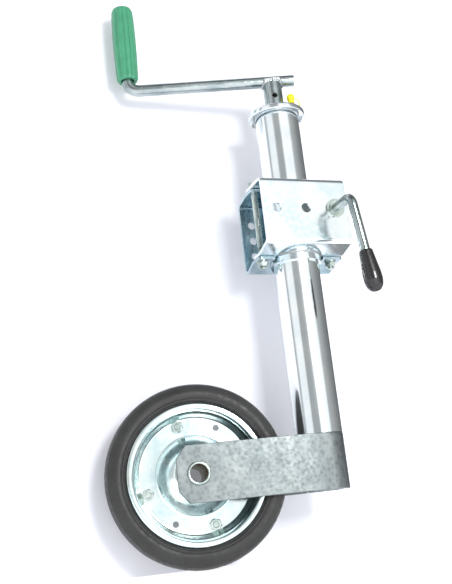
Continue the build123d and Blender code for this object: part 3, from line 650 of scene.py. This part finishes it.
# %% Guide bolts and nuts of the bracket
GUIDE_RADIUS = 49.0
HEAD_T = 5.5
NUT_T = 6.5
BOLT_END = 3.0
LOW_HEAD_SEAT = -32.1
THREAD_RUN = 20
bolt_low, bolt_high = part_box("guide_bolts")
nut_low, nut_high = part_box("guide_nuts")
guide_y = (bolt_low.y + bolt_high.y) / 2
top_seat = bolt_high.z / MM - HEAD_T
top_nut = nut_high.z / MM
low_nut = nut_low.z / MM + NUT_T
thread_top = low_nut + THREAD_RUN


def beside_tube(side, meshes):
    """Moves shapes drawn about Z to the guide bolts on one side of the column."""
    for mesh in meshes:
        mesh.transform(Matrix.Translation((tube_x + side * GUIDE_RADIUS * MM, guide_y, 0)))
    return meshes


def guide_head(seat):
    """A bolt head on its seat."""
    return hexagon_mesh(BOLT_FLATS, seat, seat + HEAD_T, dish=BOLT_DISH)


def guide_nut(seat):
    """A nut under its seat."""
    return hexagon_mesh(BOLT_FLATS, seat - NUT_T, seat)


def guide_thread(nut_seat, high):
    """A threaded shank, from its end below a nut up to a height."""
    return thread_mesh(BOLT_SHANK, nut_seat - NUT_T - BOLT_END, high)


plain_shank = [(0, thread_top), (BOLT_SHANK, thread_top), (BOLT_SHANK, top_seat), (0, top_seat)]
lever_side = [guide_head(top_seat), guide_thread(top_nut, top_seat),
              guide_head(LOW_HEAD_SEAT), guide_thread(low_nut, LOW_HEAD_SEAT)]
far_side = [guide_head(top_seat), guide_thread(low_nut, thread_top),
            turned_mesh("shank", plain_shank, Matrix(), segments=32, loop=False)]
bolt_mesh = joined("guide_bolts", beside_tube(1, lever_side) + beside_tube(-1, far_side))
guide_bolts = add_object("guide_bolt_set", bolt_mesh, zinc_small, crease=25)
declare(guide_bolts, "bracket", "zinc_plate", "guide_bolts")
nuts = beside_tube(1, [guide_nut(top_nut), guide_nut(low_nut)]) + beside_tube(-1, [guide_nut(low_nut)])
guide_nuts = add_object("guide_nut_set", joined("guide_nuts", nuts), zinc_small, crease=25)
declare(guide_nuts, "bracket", "zinc_plate", "guide_nuts")

# %% [markdown]
# ## Pressed and cut sheet
# The bracket's channels, its collars and the fork are cut from sheet, and their edges are a little worn
# by the tumbling before plating. A merged copy of each CAD mesh gets a fine bevel on its sharp edges:
# the edge then catches a thin line of light, as real sheet does. Weighted normals keep the large faces
# flat, so that only the bevel shades round.

# %% Sheet parts with eased edges
MERGE_GAP = 1e-6
SHARP_ANGLE = 40


def eased(node, name, ease, finish, body, slot):
    """A copy of a CAD node with its sharp edges rounded by a small bevel in millimetres."""
    bm = bmesh.new()
    bm.from_mesh(frame["nodes"][node].data)
    bmesh.ops.remove_doubles(bm, verts=bm.verts, dist=MERGE_GAP)
    bmesh.ops.dissolve_limit(bm, angle_limit=radians(1), verts=bm.verts, edges=bm.edges)
    sharp = [edge for edge in bm.edges
             if len(edge.link_faces) == 2 and edge.calc_face_angle() > radians(SHARP_ANGLE)]
    bmesh.ops.bevel(bm, geom=sharp, offset=ease * MM, segments=2, profile=0.5, affect="EDGES")
    mesh = bpy.data.meshes.new(name)
    bm.to_mesh(mesh)
    bm.free()
    obj = add_object(name, mesh, finish, crease=50)
    flatten = obj.modifiers.new("flatten", "WEIGHTED_NORMAL")
    flatten.keep_sharp = True
    flatten.weight = 100
    settled(obj)
    declare(obj, body, slot, node)


eased("front_channel", "front_channel_sheet", 0.5, zinc_sheet, "jaw", "zinc_plate")
# The back channel takes the darkened zinc, with its shade painted into the colour.
eased("back_channel", "back_channel_sheet", 0.5, zinc_back_painted_shade, "bracket", "zinc_plate")
eased("front_saddle", "front_collar", 0.4, zinc_sheet, "jaw", "zinc_plate")
eased("back_saddle", "back_collar", 0.4, zinc_back_painted_shade, "bracket", "zinc_plate")
eased("fork", "fork_strap", 0.7, galvanised, "leg", "galvanised")

# %% [markdown]
# ## Weld beads
# A weld bead is a row of small overlapping puddles. A geometry node tree turns a seam into a curve,
# steps along it by the length of one puddle and sets a slightly different ball at each step. Half of
# each ball is sunk in the corner, so only the ripples show.

# %% Node tree for weld beads
def weld_bead_tree():
    """Tree: puddles of varied size along a seam."""
    tree = bpy.data.node_groups.new("weld_bead", "GeometryNodeTree")
    add_input(tree, "Seam", "NodeSocketGeometry")
    add_input(tree, "Pitch", "NodeSocketFloat", 0.002)
    add_input(tree, "Puddle radius", "NodeSocketFloat", 0.002)
    add_input(tree, "Seed", "NodeSocketInt", 1)
    add_input(tree, "Finish", "NodeSocketMaterial")
    tree.interface.new_socket("Geometry", in_out="OUTPUT", socket_type="NodeSocketGeometry")
    given = tree.nodes.new("NodeGroupInput")
    result = tree.nodes.new("NodeGroupOutput")
    curve = tree.nodes.new("GeometryNodeMeshToCurve")
    steps = tree.nodes.new("GeometryNodeResampleCurve")
    steps.mode = "LENGTH"
    ball = tree.nodes.new("GeometryNodeMeshUVSphere")
    ball.inputs["Segments"].default_value = 12
    ball.inputs["Rings"].default_value = 8
    vary = tree.nodes.new("FunctionNodeRandomValue")
    vary.data_type = "FLOAT_VECTOR"
    vary.inputs["Min"].default_value = (0.8, 0.8, 0.75)
    vary.inputs["Max"].default_value = (1.15, 1.15, 1.1)
    copies = tree.nodes.new("GeometryNodeInstanceOnPoints")
    real = tree.nodes.new("GeometryNodeRealizeInstances")
    coat = tree.nodes.new("GeometryNodeSetMaterial")
    link = tree.links.new
    link(given.outputs["Seam"], curve.inputs["Mesh"])
    link(curve.outputs["Curve"], steps.inputs["Curve"])
    link(given.outputs["Pitch"], steps.inputs["Length"])
    link(given.outputs["Puddle radius"], ball.inputs["Radius"])
    link(given.outputs["Seed"], vary.inputs["Seed"])
    link(steps.outputs["Curve"], copies.inputs["Points"])
    link(ball.outputs["Mesh"], copies.inputs["Instance"])
    link(vary.outputs["Value"], copies.inputs["Scale"])
    link(copies.outputs["Instances"], real.inputs["Geometry"])
    link(real.outputs["Geometry"], coat.inputs["Geometry"])
    link(given.outputs["Finish"], coat.inputs["Material"])
    link(coat.outputs["Geometry"], result.inputs["Geometry"])
    return tree


weld_tree = weld_bead_tree()


def weld_bead(name, seams, puddle, pitch, seed, body, nodes=()):
    """Weld beads along seams, each a list of points in millimetres, fused into one skin."""
    mesh = bpy.data.meshes.new(name)
    points, edges = [], []
    for seam in seams:
        first = len(points)
        points += [Vector(point) * MM for point in seam]
        edges += [(first + step, first + step + 1) for step in range(len(seam) - 1)]
    mesh.from_pydata(points, edges, [])
    values = {"Pitch": pitch * MM, "Puddle radius": puddle * MM, "Seed": seed, "Finish": weld_metal}
    bead = add_object(name, grown(name, weld_tree, values, mesh), weld_metal)
    fuse = bead.modifiers.new("fuse", "REMESH")
    fuse.mode = "VOXEL"
    fuse.voxel_size = puddle * 0.22 * MM
    even = bead.modifiers.new("even", "SMOOTH")
    even.iterations = 3
    settled(bead)
    bead.data.materials.clear()
    bead.data.materials.append(weld_metal)
    bead.data.shade_smooth()
    declare(bead, body, "zinc_plate", *nodes)


def arc_seam(radius, height, start, stop, steps=48):
    """Points of an arc about the column, from one angle to another in degrees."""
    out = []
    for step in range(steps + 1):
        angle = radians(start + (stop - start) * step / steps)
        out.append((tube_x / MM + radius * cos(angle), tube_y / MM + radius * sin(angle), height))
    return out


# %% Beads on the column and the bracket
CAP_T = 3.0
COLLAR_OVER = 4.05
COLLAR_ARC = (-152, -28)
PROUD = 0.3
cap_low, cap_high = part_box("top_cap")
front_low, front_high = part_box("front_channel")
tube_r = tube_radius / MM
collar_r = tube_r + COLLAR_OVER
under_cap = cap_high.z / MM - CAP_T
cap_seam = arc_seam(tube_r + PROUD, under_cap - PROUD, 0, 360, steps=96)
collar_seams = [arc_seam(collar_r, face.z / MM, *COLLAR_ARC) for face in (front_high, front_low)]
weld_bead("cap_weld", [cap_seam], puddle=2.0, pitch=2.1, seed=3, body="column")
weld_bead("jaw_welds", collar_seams, puddle=1.9, pitch=2.0, seed=5, body="jaw")

# %% Bead round the crank's hub
ARM_R = 8.0
SOCKET_R = 13.0
CRANK_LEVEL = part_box("crank_rod")[0].z / MM + ARM_R
BEAD_REACH = 61
SEAM_REACH = 9.5
SEAM_SIDE = 8.3


def along_arm(points):
    """Turns points drawn with the arm along X about the spindle into place."""
    turn = Matrix.Rotation(crank_heading, 4, "Z")
    base = Vector((tube_x / MM, tube_y / MM, CRANK_LEVEL))
    return [base + turn @ Vector(point) for point in points]


def hub_seam(steps=14):
    """The curve where the crank's arm sits in its socket, once round."""
    out = []
    for end in (1, -1):
        for step in range(steps + 1):
            angle = radians(BEAD_REACH) * (2 * step / steps - 1)
            side = end * ARM_R * sin(angle)
            out.append((end * (SOCKET_R ** 2 - side ** 2) ** 0.5, side, 0.3 - ARM_R * cos(angle)))
    return along_arm(out + out[:1])


def side_seam(side):
    """The bead along one side of the arm, across the socket's top."""
    return along_arm([(-SEAM_REACH, side, 0.4), (0, side * 1.03, 0.9), (SEAM_REACH, side, -0.2)])


hub_seams = [hub_seam(), side_seam(-SEAM_SIDE), side_seam(SEAM_SIDE)]
weld_bead("hub_bead", hub_seams, puddle=2.9, pitch=2.4, seed=8, body="crank", nodes=["hub_weld"])

# %% [markdown]
# ## Top cap
# The cap is a pressed dish: flat on top, a rounded shoulder and a short skirt. It is spun like the rim.

# %% Top cap
cap_top = cap_high.z / MM
CAP_R = (cap_high.x - cap_low.x) / 2 / MM
SKIRT = cap_top - cap_low.z / MM
SKIRT_T = 2.4
NECK_GAP = 8.4
cap_foot = cap_top - SKIRT
cap_points = [(NECK_GAP, cap_top), (CAP_R, cap_top), (CAP_R, cap_foot), (CAP_R - SKIRT_T, cap_foot),
              (CAP_R - SKIRT_T, cap_top - CAP_T), (NECK_GAP, cap_top - CAP_T)]
cap_outline = softened(cap_points, [0.4, 3.6, 1.1, 1.1, 1.4, 0.4], steps=6)
cap_mesh = turned_mesh("column_cap", cap_outline, Matrix.Translation((tube_x, tube_y, 0)))
declare(add_object("column_cap", cap_mesh, zinc_tube, crease=50), "column", "zinc_plate", "top_cap")

# %% [markdown]
# ## Crank grip
# The grip is green plastic with ribs along it, and it turns on the crank's upright. Its shape follows a
# rule: a grid is wrapped round the axis, one curve gives the radius at each height, and a wave round
# the axis cuts the grooves. A geometry node tree holds that rule, so the number of ribs is one input.

# %% Node tree for the ribbed grip
GRIP_ROUND = 161
GRIP_ALONG = 181
SEAM_GAP = 0.000005


def ribbed_grip_tree(profile, groove_fade):
    """Tree: a grid wrapped into a closed grip. Profile holds (share, radius share, height share) points."""
    tree = bpy.data.node_groups.new("ribbed_grip", "GeometryNodeTree")
    add_input(tree, "Length", "NodeSocketFloat", 0.1)
    add_input(tree, "Radius", "NodeSocketFloat", 0.015)
    add_input(tree, "Ribs", "NodeSocketInt", 10)
    add_input(tree, "Groove depth", "NodeSocketFloat", 0.001)
    add_input(tree, "Finish", "NodeSocketMaterial")
    tree.interface.new_socket("Geometry", in_out="OUTPUT", socket_type="NodeSocketGeometry")
    given = tree.nodes.new("NodeGroupInput")
    result = tree.nodes.new("NodeGroupOutput")
    grid = tree.nodes.new("GeometryNodeMeshGrid")
    grid.inputs["Size X"].default_value = 1.0
    grid.inputs["Size Y"].default_value = 1.0
    grid.inputs["Vertices X"].default_value = GRIP_ROUND
    grid.inputs["Vertices Y"].default_value = GRIP_ALONG
    where = tree.nodes.new("GeometryNodeInputPosition")
    parts = tree.nodes.new("ShaderNodeSeparateXYZ")
    tree.links.new(where.outputs["Position"], parts.inputs["Vector"])

    def maths(operation, first, second=None):
        """A math node on sockets or plain numbers."""
        node = add_node(tree, "ShaderNodeMath", operation=operation)
        for index, value in enumerate((first, second)):
            if value is None:
                continue
            if isinstance(value, (int, float)):
                node.inputs[index].default_value = value
            else:
                tree.links.new(value, node.inputs[index])
        return node.outputs["Value"]

    def shape_curve(factor, points):
        """A float curve through (position, value) points."""
        node = tree.nodes.new("ShaderNodeFloatCurve")
        curve = node.mapping.curves[0]
        curve.points[0].location = points[0]
        curve.points[1].location = points[-1]
        for point in points[1:-1]:
            curve.points.new(*point)
        for point in curve.points:
            point.handle_type = "VECTOR"
        node.mapping.update()
        tree.links.new(factor, node.inputs["Value"])
        return node.outputs["Value"]

    round_share = maths("ADD", parts.outputs["X"], 0.5)
    along_share = maths("ADD", parts.outputs["Y"], 0.5)
    angle = maths("MULTIPLY", round_share, 2 * pi)
    radius_share = shape_curve(along_share, [(share, out) for share, out, up in profile])
    height_share = shape_curve(along_share, [(share, up) for share, out, up in profile])
    radius = maths("MULTIPLY", radius_share, given.outputs["Radius"])
    height = maths("MULTIPLY", height_share, given.outputs["Length"])
    wave = maths("COSINE", maths("MULTIPLY", angle, given.outputs["Ribs"]))
    groove = maths("POWER", maths("MULTIPLY", maths("ADD", wave, 1.0), 0.5), 3.0)
    depth = maths("MULTIPLY", maths("MULTIPLY", groove, shape_curve(along_share, groove_fade)),
                  given.outputs["Groove depth"])
    final_radius = maths("SUBTRACT", radius, depth)
    spot = tree.nodes.new("ShaderNodeCombineXYZ")
    tree.links.new(maths("MULTIPLY", maths("COSINE", angle), final_radius), spot.inputs["X"])
    tree.links.new(maths("MULTIPLY", maths("SINE", angle), final_radius), spot.inputs["Y"])
    tree.links.new(height, spot.inputs["Z"])
    wrap = tree.nodes.new("GeometryNodeSetPosition")
    seam = tree.nodes.new("GeometryNodeMergeByDistance")
    real = tree.nodes.new("GeometryNodeRealizeInstances")
    coat = tree.nodes.new("GeometryNodeSetMaterial")
    tree.links.new(grid.outputs["Mesh"], wrap.inputs["Geometry"])
    tree.links.new(spot.outputs["Vector"], wrap.inputs["Position"])
    tree.links.new(wrap.outputs["Geometry"], seam.inputs["Geometry"])
    seam.inputs["Distance"].default_value = SEAM_GAP
    tree.links.new(seam.outputs["Geometry"], real.inputs["Geometry"])
    tree.links.new(real.outputs["Geometry"], coat.inputs["Geometry"])
    tree.links.new(given.outputs["Finish"], coat.inputs["Material"])
    tree.links.new(coat.outputs["Geometry"], result.inputs["Geometry"])
    return tree


# %% Crank grip
grip_low, grip_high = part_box("crank_grip")
GRIP_LONG = grip_high.z - grip_low.z
GRIP_WIDE = (grip_high.x - grip_low.x) / 2
GRIP_BORE = 8.4 * MM / GRIP_WIDE
RECESS = 0.09
grip_profile = [
    (0.00, 0.00, RECESS), (0.05, GRIP_BORE, RECESS), (0.12, GRIP_BORE + 0.02, 0.012),
    (0.14, GRIP_BORE + 0.06, 0.0), (0.18, 0.80, 0.0), (0.22, 0.9, 0.02), (0.30, 0.93, 0.1),
    (0.50, 0.975, 0.35), (0.68, 0.985, 0.62),
    (0.80, 0.945, 0.84), (0.85, 0.90, 0.925), (0.87, 0.84, 0.945), (0.91, 0.64, 0.966), (0.94, 0.30, 0.972),
    (0.96, 0.25, 0.99), (0.98, 0.2, 1.0), (1.00, 0.0, 1.0)]
groove_fade = [(0.0, 0.0), (0.17, 0.0), (0.2, 0.9), (0.8, 1.0), (0.86, 0.5), (0.88, 0.0), (1.0, 0.0)]
grip_values = {"Length": GRIP_LONG, "Radius": GRIP_WIDE, "Ribs": 10, "Groove depth": 1.7 * MM,
               "Finish": green_plastic}
grip_mesh = grown("ribbed_crank_grip", ribbed_grip_tree(grip_profile, groove_fade), grip_values)
grip_foot = Vector(((grip_low.x + grip_high.x) / 2, (grip_low.y + grip_high.y) / 2, grip_low.z))
grip_mesh.transform(Matrix.Translation(grip_foot))
crank_grip = add_object("ribbed_crank_grip", grip_mesh, green_plastic, crease=45)
declare(crank_grip, "grip", "green_plastic", "crank_grip")

# %% [markdown]
# ## Lever grip
# The clamp lever's grip is a dipped vinyl drop: thin where it starts, full near its end and closed by a
# soft round. The outline is spun about the lever's lower leg.

# %% Lever grip
LEVER_OUT = 44.0
LEVER_LEAN = 7.2
GRIP_FROM = 73.0
lever_corner = clamp_place @ Vector((0, 0, LEVER_OUT * MM))
leg_axis = Vector((sin(radians(LEVER_LEAN)), 0, -cos(radians(LEVER_LEAN))))
drop_place = place_at(lever_corner + leg_axis * GRIP_FROM * MM, leg_axis, (0, 1, 0))
drop_points = [(0, 3), (6.1, 3), (6.1, 0.3), (7.4, 0), (8.6, 2), (9.9, 15), (11.7, 31), (11.9, 40),
               (10.2, 48), (6, 53.2), (2.2, 54), (0, 54)]
drop_radii = [0, 0, 0.3, 0.9, 2, 30, 30, 12, 9, 6, 2, 0]
drop_outline = softened(drop_points, drop_radii, steps=6, loop=False)
drop_mesh = turned_mesh("lever_grip_drop", drop_outline, drop_place, segments=64, loop=False)
lever_grip = add_object("lever_grip_drop", drop_mesh, black_vinyl, crease=50)
declare(lever_grip, "lever", "black_vinyl", "lever_grip")

# %% [markdown]
# ## Hollow axle
# The axle is a thick tube pressed through the fork. Outside it is plated, and inside it is brown with
# old grease, so its mesh takes two finishes, by whether a face looks at the axis.

# %% Hollow axle
AXLE_R = 13.5
AXLE_BORE = 10.75
AXLE_HALF = 40.0
axle_points = [(AXLE_R, -AXLE_HALF), (AXLE_R, AXLE_HALF), (AXLE_BORE, AXLE_HALF), (AXLE_BORE, -AXLE_HALF)]
axle_mesh = turned_mesh("hollow_axle", softened(axle_points, 0.6, steps=3), wheel_place, segments=96)
axle = add_object("hollow_axle", axle_mesh, zinc_small, greased_steel, crease=50)
axle_inverse = wheel_place.inverted()
for face in axle.data.polygons:
    middle = axle_inverse @ face.center
    if hypot(middle.x, middle.y) < (AXLE_BORE + 0.2) * MM:
        face.material_index = 1
declare(axle, "leg", "zinc_plate", "axle_tube")

# %% [markdown]
# ## Room and lights
# Zinc looks like what surrounds it. The room is a pale studio: a floor, a white sheet close behind the
# jack, a soft lamp in front of it, higher than the camera and to its right, and a sky with broad light
# and grey bands, which the tube shows as upright stripes. The sheet is seen from the front alone, so it
# never hides the back.

# %% Floor and sheet behind
def stage_finish(name, colour, glow=0.0, one_sided=False):
    """A flat pale surface; a one-sided one can't be seen from its back."""
    finish, tree, shader = new_finish(name, 0.0, 0.9, colour)
    shader.inputs["Emission Color"].default_value = (*colour, 1)
    shader.inputs["Emission Strength"].default_value = glow
    if one_sided:
        facing = add_node(tree, "ShaderNodeNewGeometry")
        clear = add_node(tree, "ShaderNodeBsdfTransparent")
        mix = add_node(tree, "ShaderNodeMixShader")
        tree.links.new(facing.outputs["Backfacing"], mix.inputs["Fac"])
        tree.links.new(shader.outputs["BSDF"], mix.inputs[1])
        tree.links.new(clear.outputs["BSDF"], mix.inputs[2])
        tree.links.new(mix.outputs["Shader"], tree.nodes["Material Output"].inputs["Surface"])
    return finish


def stage_plane(name, corners, finish):
    """A flat rectangle from its four corners, facing by the order of the corners."""
    mesh = bpy.data.meshes.new(name)
    mesh.from_pydata(corners, [], [(0, 1, 2, 3)])
    obj = bpy.data.objects.new(name, mesh)
    scene.collection.objects.link(obj)
    mesh.materials.append(finish)


REACH = 4.0
SHEET_Y = 0.05
SHEET_RIGHT = 0.13
FLOOR_GAP = 0.0005
floor_z = cad_low.z - FLOOR_GAP
floor_corners = [(-REACH, -REACH, floor_z), (REACH, -REACH, floor_z), (REACH, SHEET_Y, floor_z),
                 (-REACH, SHEET_Y, floor_z)]
stage_plane("floor", floor_corners, stage_finish("floor_paper", (0.8, 0.8, 0.82), glow=1.0))
sheet_corners = [(-REACH, SHEET_Y, floor_z), (SHEET_RIGHT, SHEET_Y, floor_z), (SHEET_RIGHT, SHEET_Y, REACH),
                 (-REACH, SHEET_Y, REACH)]
sheet_paper = stage_finish("sheet_paper", (0.78, 0.785, 0.83), glow=0.14, one_sided=True)
stage_plane("back_sheet", sheet_corners, sheet_paper)
print("floor at", round(floor_z, 4), "and sheet at", SHEET_Y)

# %% Sky bands
VIEW_HEADING = -116.2   # degrees, from the jack towards the camera
SKY_BANDS = [(-147, 1.15), (-89, 1.15), (-83, 0.5), (-59, 0.5), (-53, 1.15), (-23, 1.15), (-18, 0.48),
             (12, 0.48), (16, 1.2), (62, 1.2), (68, 0.55), (110, 0.3), (157, 0.16), (190, 0.8)]
SKY_TINT = (0.97, 0.99, 1)
OVERHEAD_FROM = 0.68
OVERHEAD_FULL = 0.84
world = bpy.data.worlds.new("studio_sky")
scene.world = world
world.use_nodes = True
sky = world.node_tree
background = sky.nodes["Background"]
direction = add_node(sky, "ShaderNodeTexCoord")
parts = add_node(sky, "ShaderNodeSeparateXYZ")
heading = add_node(sky, "ShaderNodeMath", operation="ARCTAN2")
turned_sky = add_node(sky, "ShaderNodeMapRange")
turned_sky.inputs["From Min"].default_value = -pi
turned_sky.inputs["From Max"].default_value = pi
sky.links.new(direction.outputs["Generated"], parts.inputs["Vector"])
sky.links.new(parts.outputs["Y"], heading.inputs[0])
sky.links.new(parts.outputs["X"], heading.inputs[1])
sky.links.new(heading.outputs["Value"], turned_sky.inputs["Value"])
stops = sorted((((VIEW_HEADING + angle + 180) % 360) / 360, tuple(level * tint for tint in SKY_TINT))
               for angle, level in SKY_BANDS)
bands = ramp(sky, turned_sky.outputs["Result"], stops)
high = ramp(sky, parts.outputs["Z"], [(OVERHEAD_FROM, (0, 0, 0)), (OVERHEAD_FULL, (1, 1, 1))])
overhead = add_node(sky, "ShaderNodeMix", data_type="RGBA")
sky.links.new(high, overhead.inputs["Factor"])
sky.links.new(bands, overhead.inputs["A"])
overhead.inputs["B"].default_value = (0.25, 0.26, 0.28, 1)
seen = add_node(sky, "ShaderNodeLightPath")
plain = add_node(sky, "ShaderNodeMix", data_type="RGBA")
sky.links.new(seen.outputs["Is Camera Ray"], plain.inputs["Factor"])
sky.links.new(overhead.outputs["Result"], plain.inputs["A"])
plain.inputs["B"].default_value = (1.2, 1.2, 1.2, 1)
sky.links.new(plain.outputs["Result"], background.inputs["Color"])
background.inputs["Strength"].default_value = 0.9
print("sky with", len(SKY_BANDS), "stops")

# %% Lamp
def area_lamp(name, position, target, size, power):
    """A square soft light aimed at a point."""
    light = bpy.data.lights.new(name, "AREA")
    light.size = size
    light.energy = power
    obj = bpy.data.objects.new(name, light)
    obj.location = position
    obj.rotation_euler = (Vector(target) - Vector(position)).to_track_quat("-Z", "Y").to_euler()
    scene.collection.objects.link(obj)


centre = (cad_low + cad_high) / 2
area_lamp("window", centre + Vector((0.25, -1.8, 0.3)), centre, 0.45, 22)

# %% [markdown]
# ## Camera
# The camera stands low and to the left, looks up past the wheel, and leans a little. The lens is long
# enough to keep the column nearly straight.

# %% Camera
CAMERA_AT = Vector((-0.495775, -1.046434, -0.372106))
CAMERA_HEADING = radians(68.709)
CAMERA_RISE = radians(15.056)
CAMERA_LEAN = radians(6.372)
lens = bpy.data.cameras.new("camera")
lens.sensor_width = 36
lens.lens = 54.442
camera = bpy.data.objects.new("camera", lens)
scene.collection.objects.link(camera)
level_reach = cos(CAMERA_RISE)
forward = Vector((level_reach * cos(CAMERA_HEADING), level_reach * sin(CAMERA_HEADING), sin(CAMERA_RISE)))
level_right = forward.cross(UP).normalized()
level_up = level_right.cross(forward)
camera_up = level_up * cos(CAMERA_LEAN) + level_right * sin(CAMERA_LEAN)
camera.matrix_world = Matrix.Translation(CAMERA_AT) @ Matrix(
    (forward.cross(camera_up), camera_up, -forward)).transposed().to_4x4()
scene.camera = camera
scene.view_settings.view_transform = "Standard"
print("camera at", [round(v, 3) for v in CAMERA_AT])
